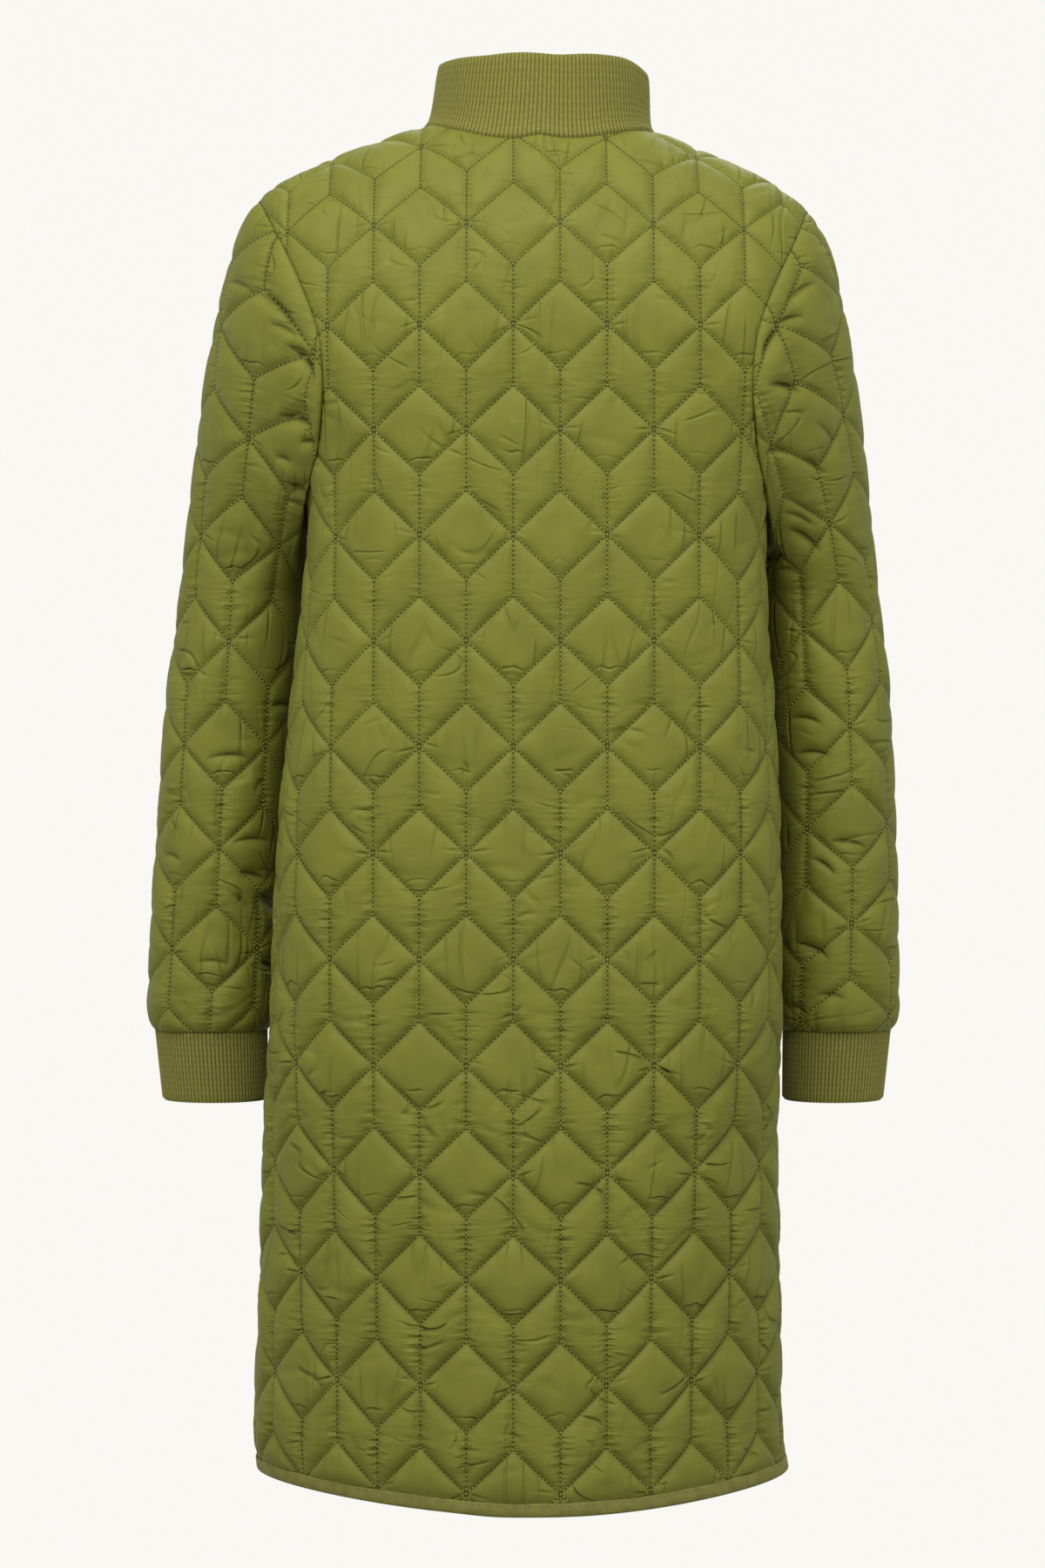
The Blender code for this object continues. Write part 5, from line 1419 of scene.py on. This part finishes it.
@dataclass(frozen=True)
class RibKnit:
    """Wool-blend rib knit: soft and matt, with fuzz on its ribs and painted shade in the valleys between them.
    """

    code: str = "716E30"
    # painted shade in the valleys between the ribs, and the flecks' own darker colour
    dark: str = "302E0E"
    sheen: str = "B5B070"
    fuzz: float = 1.11  # mm
    loop_row: float = 0.0042  # m

    def make(self) -> bpy.types.Material:
        """The material: painted shade in the valleys, flecked, with the rows of loops as a bump."""
        tree = NodeTree("rib_knit")
        place = tree.add("TexCoord", {}, "Object")
        rib = tree.add("Attribute", {}, "Fac", attribute_name="rib")
        cloth = tree.add("UVMap", {}, uv_map="cloth")
        fleck = tree.add("TexNoise", {"Vector": place, "Scale": per_metre(self.fuzz), "Detail": 2.0})
        # painted shade in the valleys between the ribs
        share = tree.add("MapRange", {0: rib, 1: 0.0, 2: 0.75, 3: 0.75, 4: 0.0}, **SOFT)
        base = tree.add("Mix", {0: share, 6: linear(self.code), 7: linear(self.dark)}, **COLOUR)
        share = tree.add("MapRange", {0: fleck, 1: 0.4, 2: 0.7, 3: 0.0, 4: 0.3}, **SOFT)
        base = tree.add("Mix", {0: share, 6: base, 7: linear(self.dark)}, **COLOUR)
        scale = 2 * math.pi / 20 / self.loop_row  # a wave's bands are 2 pi / 20 apart
        loops = tree.add("TexWave", {"Vector": cloth, "Scale": scale, "Distortion": 0.6}, "Fac",
                         bands_direction="Y")
        bump = tree.add("Bump", {"Strength": 0.4, "Distance": 0.0004, "Height": loops})
        bump = tree.add("Bump", {"Strength": 0.35, "Distance": 0.0003, "Height": fleck, "Normal": bump})
        return tree.finish({"Base Color": base, "Normal": bump, "Roughness": 0.85, "Specular IOR Level": 0.2,
                            "Sheen Weight": 0.25, "Sheen Tint": linear(self.sheen)})


@dataclass(frozen=True)
class PlainFinish:
    """A finish of one dye that fades in patches into a second, with a fine grain. Its grains are in mm."""

    name: str
    code: str
    second: str
    patch: float
    detail: float
    fade: tuple[float, float, float]  # where patches start and end in their noise, and their greatest share
    roughness: float
    specular: float = 0.5
    grain: tuple[float, float, float, float] | None = None  # size, detail, strength and depth (m) of the bump

    def make(self) -> bpy.types.Material:
        """Fades the two dyes into each other, with the grain as a bump, and returns the material."""
        tree = NodeTree(self.name)
        place = tree.add("TexCoord", {}, "Object")
        dye = tree.add("TexNoise", {"Vector": place, "Scale": per_metre(self.patch), "Detail": self.detail})
        low, high, most = self.fade
        share = tree.add("MapRange", {0: dye, 1: low, 2: high, 3: 0.0, 4: most}, **SOFT)
        base = tree.add("Mix", {0: share, 6: linear(self.code), 7: linear(self.second)}, **COLOUR)
        values = {"Base Color": base, "Roughness": self.roughness, "Specular IOR Level": self.specular}
        if self.grain:
            size, detail, strength, depth = self.grain
            grain = tree.add("TexNoise", {"Vector": place, "Scale": per_metre(size), "Detail": detail})
            values["Normal"] = tree.add("Bump", {"Strength": strength, "Distance": depth, "Height": grain})
        return tree.finish(values)


def woven_tape() -> PlainFinish:
    """Polyester tape, woven flat: matt, uneven in its dye, with the weave as a bump."""
    return PlainFinish("binding_tape", "6A682B", "4F4D1E", 6.25, 3.0, (0.35, 0.7, 0.5), 0.72, 0.3,
                       (0.77, 1.0, 0.4, 0.0003))


def spun_thread(dye: ThreadDye) -> PlainFinish:
    """Spun polyester thread: it lies proud and catches the light, and its colour varies by the stitch."""
    return PlainFinish("spun_thread", dye.value, "6E6E30", 4.17, 2.0, (0.3, 0.7, 0.5), 0.6, 0.2)


def dyed_nylon() -> PlainFinish:
    """Nylon coil of the zip, dyed with its tape: smooth, with a dull plastic gleam."""
    return PlainFinish("coil_teeth", "6E6C30", "504E20", 3.33, 2.0, (0.3, 0.7, 0.4), 0.42)


def painted_zinc() -> PlainFinish:
    """Die-cast zinc under semi-matt paint: rubbed a little paler in patches, with a fine orange peel."""
    return PlainFinish("painted_zinc", "6A6830", "8C8A58", 2.0, 4.0, (0.5, 0.75, 0.35), 0.38, 0.5,
                       (0.667, 2.0, 0.12, 0.0002))


def dress(piece: bpy.types.Object, finish: bpy.types.Material) -> None:
    """Gives a piece its one material."""
    piece.data.materials.clear()
    piece.data.materials.append(finish)


def finish_panel(panel: QuiltedPanel, node: str, cloth: bpy.types.Material, thread: bpy.types.Material) -> None:
    """Builds and dresses a panel and its stitching, in place of a node of the frame.

    Args:
        panel: The panel.
        node: The node it stands for.
        cloth: Its cloth.
        thread: Its thread.
    """
    made, sewing = panel.build(), panel.stitch()
    dress(made, cloth)
    dress(sewing, thread)
    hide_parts(node)
    size = np.ptp(panel.outline, axis=0)
    flat_area(panel.outline)


@dataclass
class QuiltedBody:
    """The back and the two fronts, each a quilted panel with its stitching."""

    torso: Torso
    cloth: bpy.types.Material
    thread: bpy.types.Material
    back_column: float = 0.0227  # a column of stars on the back, from the centre back
    front_column: float = 0.0385  # a column of stars on a front, from the centre front

    def back_outline(self) -> tuple[Array, Array]:
        """The back's cut edge.

        Returns:
            The edge's points, and its corners.
        """
        torso = self.torso
        left, right = torso.side_seam(-1, -1), torso.side_seam(-1, 1)
        u = np.linspace(left[-1, 0], right[-1, 0], 60)
        hem = np.stack([u, hem_height(u)], axis=1)
        left_arm, right_arm = torso.armhole(-1, -1, 34), torso.armhole(-1, 1, 34)
        left_shoulder, right_shoulder = torso.shoulder(-1, -1), torso.shoulder(-1, 1)
        neck = torso.neck(-1, (1, -1), 25)
        outline = np.vstack([left[:-1], hem, right[::-1][1:-1], right_arm, right_shoulder[::-1][1:],
                             neck[1:-1], left_shoulder[:-1], left_arm[::-1][:-1]])
        corners = np.array([hem[0], hem[-1], right_arm[0], right_arm[-1], right_shoulder[0],
                            left_shoulder[0], left_arm[-1], left_arm[0]])
        return outline, corners

    def front_outline(self, sign: int) -> tuple[Array, Array]:
        """A front's cut edge.

        Args:
            sign: -1 for the wearer's left, 1 for the right.
        Returns:
            The edge's points, and its corners.
        """
        torso = self.torso
        side = torso.side_seam(1, sign)
        u = np.linspace(side[-1, 0], sign * FRONT_EDGE, 36)
        hem = np.stack([u, hem_height(u)], axis=1)
        neck = torso.neck(1, (0, sign), 15)
        neck[0] = (sign * FRONT_EDGE, neck[0, 1])
        edge = np.linspace(hem[-1, 1], neck[0, 1], 30)[1:-1]
        shoulder, arm = torso.shoulder(1, sign), torso.armhole(1, sign, 34)[::-1]
        outline = np.vstack([side[:-1], hem, np.column_stack([np.full(len(edge), sign * FRONT_EDGE), edge]),
                             neck[:-1], shoulder, arm[1:-1]])
        corners = np.array([hem[0], hem[-1], neck[0], shoulder[0], shoulder[-1], arm[-1]])
        return (outline, corners) if sign < 0 else (outline[::-1], corners)

    def build(self) -> None:
        """Builds and dresses the three panels."""
        outline, corners = self.back_outline()
        plans = [("back", -1, outline, corners, self.back_column, 11)]
        for name, sign, seed in (("front_left", -1, 23), ("front_right", 1, 37)):
            outline, corners = self.front_outline(sign)
            plans.append((name, 1, outline, corners, sign * self.front_column, seed))
        for name, face, outline, corners, column, seed in plans:
            lines = [[np.vstack([line, line[::-1]]) for line in (seam(face, -1), seam(face, 1))]
                     for seam in (self.torso.shoulder, self.torso.side_seam)]

            def press(u: Array, v: Array, lines: list[list[Array]] = lines) -> Array:
                """Puffs are pressed flatter over the shoulders and down the sides."""
                over, by = (np.min([nearest_on(np.stack([u, v], axis=1), line)[1] for line in pair], axis=0)
                            for pair in lines)
                over, by = smooth_step(over, 0.005, 0.05), smooth_step(by, 0.0, 0.045)
                return (0.5 + 0.5 * over) * (0.6 + 0.4 * by)

            panel = QuiltedPanel(f"{name}_panel", self.torso.forms[face], outline, corners,
                                 body_quilting(column), seed, hem=hem_height, press=press)
            finish_panel(panel, name, self.cloth, self.thread)


@dataclass
class QuiltedSleeves:
    """The two set-in sleeves and their ribbed cuffs."""

    torso: Torso
    cloth: bpy.types.Material
    thread: bpy.types.Material
    knit: bpy.types.Material
    puff: float = 0.0040
    cuff_wall: float = 0.0022
    cuff_end: float = -0.709
    cuff_drawn_in: float = 0.0034  # at its end, from the sleeve's hem
    cuff_lean: float = 0.0030  # at its end, towards the body

    def build(self) -> None:
        """Builds and dresses both sleeves and both cuffs."""
        for side, sign, seed in (("left", -1, 51), ("right", 1, 67)):
            sleeve = SleeveForm(self.torso, sign)
            self.build_sleeve(sleeve, side, seed)
            self.build_cuff(sleeve, side)

    def build_sleeve(self, sleeve: SleeveForm, side: str, seed: int) -> None:
        """Builds and dresses one sleeve.

        Args:
            sleeve: Its form.
            side: left or right.
            seed: Seed of its wrinkles.
        """
        width = sleeve.ROUND

        def press(u: Array, v: Array) -> Array:
            """Puffs are pressed flatter on the inner side, against the body, and along the outer edge."""
            inner = 0.35 + 0.65 * smooth_step(np.minimum(u, width - u), 0.03, 0.075)
            return inner * (1 - 0.45 * crease(u - width / 2, 0.024))

        outline = sleeve.outline()
        panel = QuiltedPanel(f"sleeve_{side}_panel", sleeve.form, outline, outline[[0, 1, 2, -1]],
                             sleeve_quilting(sleeve.sign), seed, press=press,
                             folds=Folds(SLEEVE_FOLDS[sleeve.sign]), puff=self.puff)
        finish_panel(panel, f"sleeve_{side}", self.cloth, self.thread)

    def build_cuff(self, sleeve: SleeveForm, side: str) -> None:
        """Builds and dresses one cuff: a ribbed tube from inside the sleeve's hem down to the wrist.

        Args:
            sleeve: The sleeve's form.
            side: left or right.
        """
        end = SLEEVE_SECTIONS[-1, 0]
        top, bottom = end - 0.0001, self.cuff_end
        ring = sleeve.ring(end)
        length = run_along(ring)[-1]
        count = int(round(length / RIB_PITCH)) * PER_RIB
        rows = []
        for share in np.linspace(0, 1, 24):
            extra = np.interp(share, [0, 0.06, 1], [0.0008, 0.0010, self.cuff_drawn_in])
            line = sleeve.ring(end, extra) - (sleeve.sign * self.cuff_lean * share, 0, 0)
            line[:, 2] = top + (bottom - top) * share
            rows.append(spaced(line, count + 1)[:-1])
        made = ribbed_wall(f"cuff_{side}_rib", np.array(rows[::-1]), True, sleeve.sign, self.cuff_wall,
                           round_top=False)
        dress(made, self.knit)
        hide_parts(f"cuff_{side}")


@dataclass
class RibCollar:
    """The standing collar of rib knit."""

    form: CollarForm
    knit: bpy.types.Material
    wall: float = 0.0022
    high: float = 0.062  # of the flat knit, on one side

    def build(self) -> None:
        """Builds and dresses the collar."""
        middle = self.form.rows(np.array([0.5]), 200)[0]
        count = int(round(run_along(middle)[-1] / RIB_PITCH)) * PER_RIB + 1
        rows = self.form.rows(np.linspace(0, 1, 29), count)
        made = ribbed_wall("collar_rib", rows, False, 1, self.wall)
        dress(made, self.knit)
        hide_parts("collar")
        float(run_along(rows[0])[-1])


@dataclass
class HemBinding:
    """The tape folded round the hem of both fronts and the back, and the stitches that hold it."""

    torso: Torso
    tape: bpy.types.Material
    thread: bpy.types.Material
    high: float = BINDING_HIGH
    wall: float = 0.0011
    clear: float = 0.0003  # between tape and cloth
    cloth: float = 0.0028  # thickness of the cloth that it holds
    step: float = 0.004  # from one section to the next
    lip: float = 0.0003  # how far the tape's edge swells past its height
    pitch: float = 0.0030  # of the stitches
    stitch_length: float = 0.0021
    stitch_width: float = 0.0009
    below_edge: float = 0.0016  # from the tape's edge down to the stitches

    def section(self) -> Array:
        """The tape's section, anticlockwise with up to the right.

        Returns:
            Rise from the hem and distance off the form, one point a row.
        """
        turn = np.linspace(0, math.pi, 9)
        inner, outer = self.cloth / 2 + self.clear, self.cloth / 2 + self.clear + self.wall
        middle = -self.cloth / 2
        fold = np.stack([-outer * np.sin(turn), middle + outer * np.cos(turn)], axis=1)
        back = np.stack([-inner * np.sin(turn), middle + inner * np.cos(turn)], axis=1)[::-1]
        edge = [(0.0, outer), (self.lip, outer - 0.0004), (self.lip, inner + 0.0003), (0.0, inner)]
        inside_edge = [(self.high + rise, middle - off) for rise, off in edge]
        outside_edge = [(self.high + rise, middle + off) for rise, off in edge[::-1]]
        return np.vstack([fold, inside_edge, back, outside_edge])

    def stations(self) -> list[tuple[Form, Array]]:
        """Goes round the hem from one zip edge to the other.

        Returns:
            Each cloth's form, and the u of the sections on it.
        """
        left, right = ([self.torso.side(HEM_SIDE, face, sign) for face in (-1, 1)] for sign in (-1, 1))
        runs = ((1, -FRONT_EDGE, left[1], slice(0, -1)), (-1, left[0], right[0], slice(1, -1)),
                (1, right[1], FRONT_EDGE, slice(1, None)))
        return [(self.torso.forms[face], np.linspace(start, end, int(abs(end - start) / self.step))[kept])
                for face, start, end, kept in runs]

    def build(self) -> None:
        """Builds and dresses the tape and its stitches."""
        section, rings, stitches = self.section(), [], []
        for form, u in self.stations():
            ring = [form.offset(u, hem_height(u) + rise + self.sag(u, rise), off) for rise, off in section]
            rings.append(np.stack(ring, axis=1))
            stitches.append(form.offset(u, hem_height(u) + self.high - self.below_edge,
                                        self.clear + self.wall - 0.0001))
        rings = np.vstack(rings)
        size = len(section)
        triangles = grid_triangles(len(rings), size, wrap=True)
        half = np.arange(size // 2 - 1)
        ladder = np.concatenate([np.stack([half, half + 1, size - 2 - half], 1),
                                 np.stack([half, size - 2 - half, size - 1 - half], 1)])
        triangles = np.concatenate([triangles, ladder, (ladder + (len(rings) - 1) * size)[:, ::-1]])
        made = mesh_object("hem_binding_tape", rings.reshape(-1, 3), triangles)
        sewing = self.stitch(np.vstack(stitches))
        dress(made, self.tape)
        dress(sewing, self.thread)
        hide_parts("hem_binding")

    def stitch(self, line: Array) -> bpy.types.Object:
        """Sews a row of stitches along a level line.

        Args:
            line: Points of the line.
        Returns:
            The stitching.
        """
        run = run_along(line)
        middle = np.arange(self.pitch, run[-1] - self.pitch, self.pitch)
        ends = [read(middle + share * self.stitch_length, run, line) for share in (-0.5, 0.5)]
        up = np.array([0.0, 0.0, self.stitch_width / 2])
        aside = unit(np.cross(up, ends[1] - ends[0])) * self.stitch_width / 2
        return sew("hem_binding_stitching", ends, (ends[0] + ends[1]) / 2, aside, up, up)

    @staticmethod
    def sag(u: Array, rise: float) -> Array:
        """How the tape's upper edge wavers."""
        return (rise > 0.004) * 0.0003 * np.sin(u * 130 + 2 * np.sin(u * 37))


@dataclass
class ZipTeeth:
    """The zip's chain: two rows of nylon teeth that cross over each other in the middle."""

    torso: Torso
    collar: CollarForm
    nylon: bpy.types.Material
    start: float = 0.012  # above the hem
    pitch: float = 0.0015  # from one tooth of a row to the next
    reach: tuple[float, float] = (-0.0007, 0.0025)  # of a tooth, from the middle
    half_width: float = 0.00036
    depth: float = 0.0010
    cord: tuple[float, float, float] = (0.00125, 0.0012, 0.0014)  # from the middle, radius, behind the line
    set_back: float = 0.0012  # of the teeth, behind the line
    below_slider: float = 0.0175  # from the collar's top

    def line(self) -> tuple[Array, Array]:
        """Follows the centre front up.

        Returns:
            Points along it, and their outward directions.
        """
        form = self.torso.forms[1]
        neck = self.torso.neck(1, (0, 1), 15)[0, 1]
        v = np.arange(hem_height(np.zeros(1))[0] + self.start, neck - 0.006, 0.01)
        up_collar = self.collar.centre_front(np.array([0.25, 0.5, 0.75, 1.0]))
        line = smooth_curve(np.vstack([form.at(np.zeros(len(v)), v), up_collar]), 400)
        out = np.cross(ACROSS, np.gradient(line, axis=0))
        return line, unit(out * np.sign(out[:, 1])[:, None])

    def cords(self, line: Array, out: Array) -> list[tuple[Array, Array]]:
        """The cord inside each row's coil, a six-sided rod behind the teeth.

        Args:
            line: Points up the centre front.
            out: Their outward directions.
        Returns:
            Each cord's points and triangles.
        """
        shown = run_along(line) < run_along(line)[-1] - self.below_slider
        at, off = line[shown][::3, None], out[shown][::3, None]
        turn = (np.arange(6) * math.pi / 3)[None, :, None]
        end = np.array([(0, k + 1, k) for k in range(1, 5)])
        faces = np.concatenate([grid_triangles(len(at), 6, wrap=True), end, end[:, ::-1] + (len(at) - 1) * 6])
        away, radius, behind = self.cord
        ring = at - off * behind + radius * (ACROSS * np.cos(turn) + off * np.sin(turn))
        return [((ring + ACROSS * away * side).reshape(-1, 3), faces) for side in (-1, 1)]

    def build(self) -> None:
        """Builds and dresses the teeth, each a six-sided bar with pointed ends, and the cords."""
        line, out = self.line()
        run = run_along(line)
        places = np.arange(0.0008, run[-1] - self.below_slider, self.pitch / 2)
        at, off = read(places, run, line), read(places, run, out)
        up = np.cross(off, ACROSS)
        side = np.where(np.arange(len(places)) % 2 == 0, -1.0, 1.0)
        turn = np.arange(6) * math.pi / 3
        rings = []
        for share, size in ((0.0, 0.0), (0.07, 1.0), (0.93, 1.0), (1.0, 0.0)):
            x = side * (self.reach[0] + (self.reach[1] - self.reach[0]) * share)
            middle = at - off * (self.set_back - 0.0001 * share) + x[:, None] * ACROSS
            if size:
                rings.append(middle[:, None] + up[:, None] * (self.half_width * np.cos(turn))[None, :, None]
                             + off[:, None] * (self.depth / 2 * np.sin(turn))[None, :, None])
            else:
                rings.append(middle[:, None])
        points = np.concatenate(rings, axis=1)
        shape = []
        for k in range(6):
            after = (k + 1) % 6
            shape += [(0, 1 + after, 1 + k), (1 + k, 1 + after, 7 + after), (1 + k, 7 + after, 7 + k),
                      (7 + k, 7 + after, 13)]
        shape = np.array(shape)
        numbers = np.arange(len(points)) * 14
        turned = side > 0
        triangles = np.concatenate([(numbers[turned][:, None, None] + shape).reshape(-1, 3),
                                    (numbers[~turned][:, None, None] + shape[:, ::-1]).reshape(-1, 3)])
        points = points.reshape(-1, 3)
        for cord, faces in self.cords(line, out):
            triangles = np.vstack([triangles, faces + len(points)])
            points = np.vstack([points, cord])
        made = mesh_object("zip_teeth", points, triangles, smooth=False)
        dress(made, self.nylon)
        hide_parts("zip_chain")


@dataclass
class Studio:
    """A plain pale floor that rises into a backdrop, soft lights and the camera."""

    level: float = -3.2
    paper: str = "F9F8F4"
    shade: str = "2A2A29"  # of the paper before it glows
    glow: tuple[float, float, float] = (0.55, 0.98, 0.45)  # at the floor, up the wall, over which height
    air_glow: float = 0.5
    far: float = 6.0  # from the middle to where the floor starts to rise
    rise: float = 2.5  # radius of the rise
    wall: float = 3.5  # height of the wall above the rise
    eye: tuple[float, float, float] = (-0.0038, -3.0, -0.476)
    lens: float = 94.49  # mm, on a sensor 36 mm wide
    aim: tuple[float, float, float] = (0, 0, -0.45)  # of the lights: the coat's chest
    # name, place, size and power of each light
    lights: tuple = (("key_light", (-0.15, -2.0, 2.0), 1.9, 83.0),
                     ("right_light", (1.3, -1.3, 1.6), 1.2, 16.0),
                     ("left_light", (-1.3, -1.3, 1.6), 1.2, 19.0),
                     ("front_light", (0.4, 2.8, 2.4), 1.6, 60.0))

    def build(self) -> None:
        """Builds the paper sweep, the lights, the air and the camera."""
        self.sweep()
        for name, place, size, power in self.lights:
            light = bpy.data.lights.new(name, "AREA")
            light.size, light.energy = size, power
            turn = (Vector(self.aim) - Vector(place)).to_track_quat("-Z", "Y").to_euler()
            self.put(name, light, place, turn)
        scene = bpy.context.scene
        scene.world = bpy.data.worlds.new("studio_air")
        scene.world.use_nodes = True
        air = scene.world.node_tree.nodes["Background"].inputs
        air[0].default_value, air[1].default_value = linear(self.paper), self.air_glow
        scene.view_settings.view_transform = "Standard"
        camera = bpy.data.cameras.new("camera")
        camera.lens, camera.sensor_width, camera.sensor_fit = self.lens, 36.0, "AUTO"
        scene.camera = self.put("camera", camera, self.eye, (math.pi / 2, 0, 0))

    @staticmethod
    def put(name: str, data: bpy.types.ID, place: Sequence[float], turn: Sequence[float]) -> bpy.types.Object:
        """Stands a light or a camera at its place.

        Args:
            name: Its name.
            data: What it is.
            place: Where it stands.
            turn: Its turns about x, y and z.
        Returns:
            The object.
        """
        made = bpy.data.objects.new(name, data)
        made.location, made.rotation_euler = place, turn
        bpy.context.scene.collection.objects.link(made)
        return made

    def sweep(self) -> None:
        """Makes the floor: a disc that curves up all round in a quarter circle, so it has no corner."""
        bend = np.linspace(0, math.pi / 2, 24)[1:]
        flat, steep, sides = 12, 8, 96
        radius = np.concatenate([np.linspace(0.01, self.far, flat), self.far + self.rise * np.sin(bend),
                                 np.full(steep, self.far + self.rise)])
        height = np.concatenate([np.zeros(flat), self.rise * (1 - np.cos(bend)),
                                 self.rise + np.linspace(0, self.wall, steep + 1)[1:]]) + self.level
        turn = np.linspace(0, 2 * math.pi, sides, endpoint=False)
        points = np.stack([radius[:, None] * np.cos(turn), radius[:, None] * np.sin(turn),
                           np.broadcast_to(height[:, None], (len(radius), sides))], axis=-1)
        mesh = bpy.data.meshes.new("floor")
        triangles = grid_triangles(len(radius), sides, wrap=True)
        mesh.from_pydata(points.reshape(-1, 3).tolist(), [], triangles[:, ::-1].tolist())
        made = bpy.data.objects.new("floor", mesh)
        bpy.context.scene.collection.objects.link(made)
        dress(made, self.finish())

    def finish(self) -> bpy.types.Material:
        """Matt paper that glows faintly, brighter up the wall, so that all of it looks equally pale."""
        tree = NodeTree("studio_paper")
        place = tree.add("TexCoord", {}, "Object")
        height = tree.add("SeparateXYZ", {"Vector": place}, "Z")
        low, high, rise = self.glow
        lit = tree.add("MapRange", {0: height, 1: self.level, 2: self.level + rise, 3: low, 4: high}, **SOFT)
        return tree.finish({"Base Color": linear(self.shade), "Roughness": 1.0, "Specular IOR Level": 0.0,
                            "Emission Color": linear(self.paper), "Emission Strength": lit})


def main() -> None:
    """Builds the coat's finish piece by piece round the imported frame."""
    logging.basicConfig(level=logging.INFO, format="%(name)s %(message)s")
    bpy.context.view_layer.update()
    cloth, knit = QuiltedMicrofibre().make(), RibKnit().make()
    tape, thread = woven_tape().make(), spun_thread(ThreadDye.QUILTING).make()
    coil, zinc = dyed_nylon().make(), painted_zinc().make()
    torso = Torso()
    QuiltedBody(torso, cloth, thread).build()
    QuiltedSleeves(torso, cloth, thread, knit).build()
    collar = CollarForm(torso)
    RibCollar(collar, knit).build()
    HemBinding(torso, tape, spun_thread(ThreadDye.HEM).make()).build()
    ZipTeeth(torso, collar, coil).build()
    for name, finish in (("zip_tape_left", tape), ("zip_tape_right", tape), ("zip_slider", zinc),
                         ("zip_pull", zinc)):
        dress(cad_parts[name], finish)
    Studio().build()


if __name__ == "__main__":
    main()
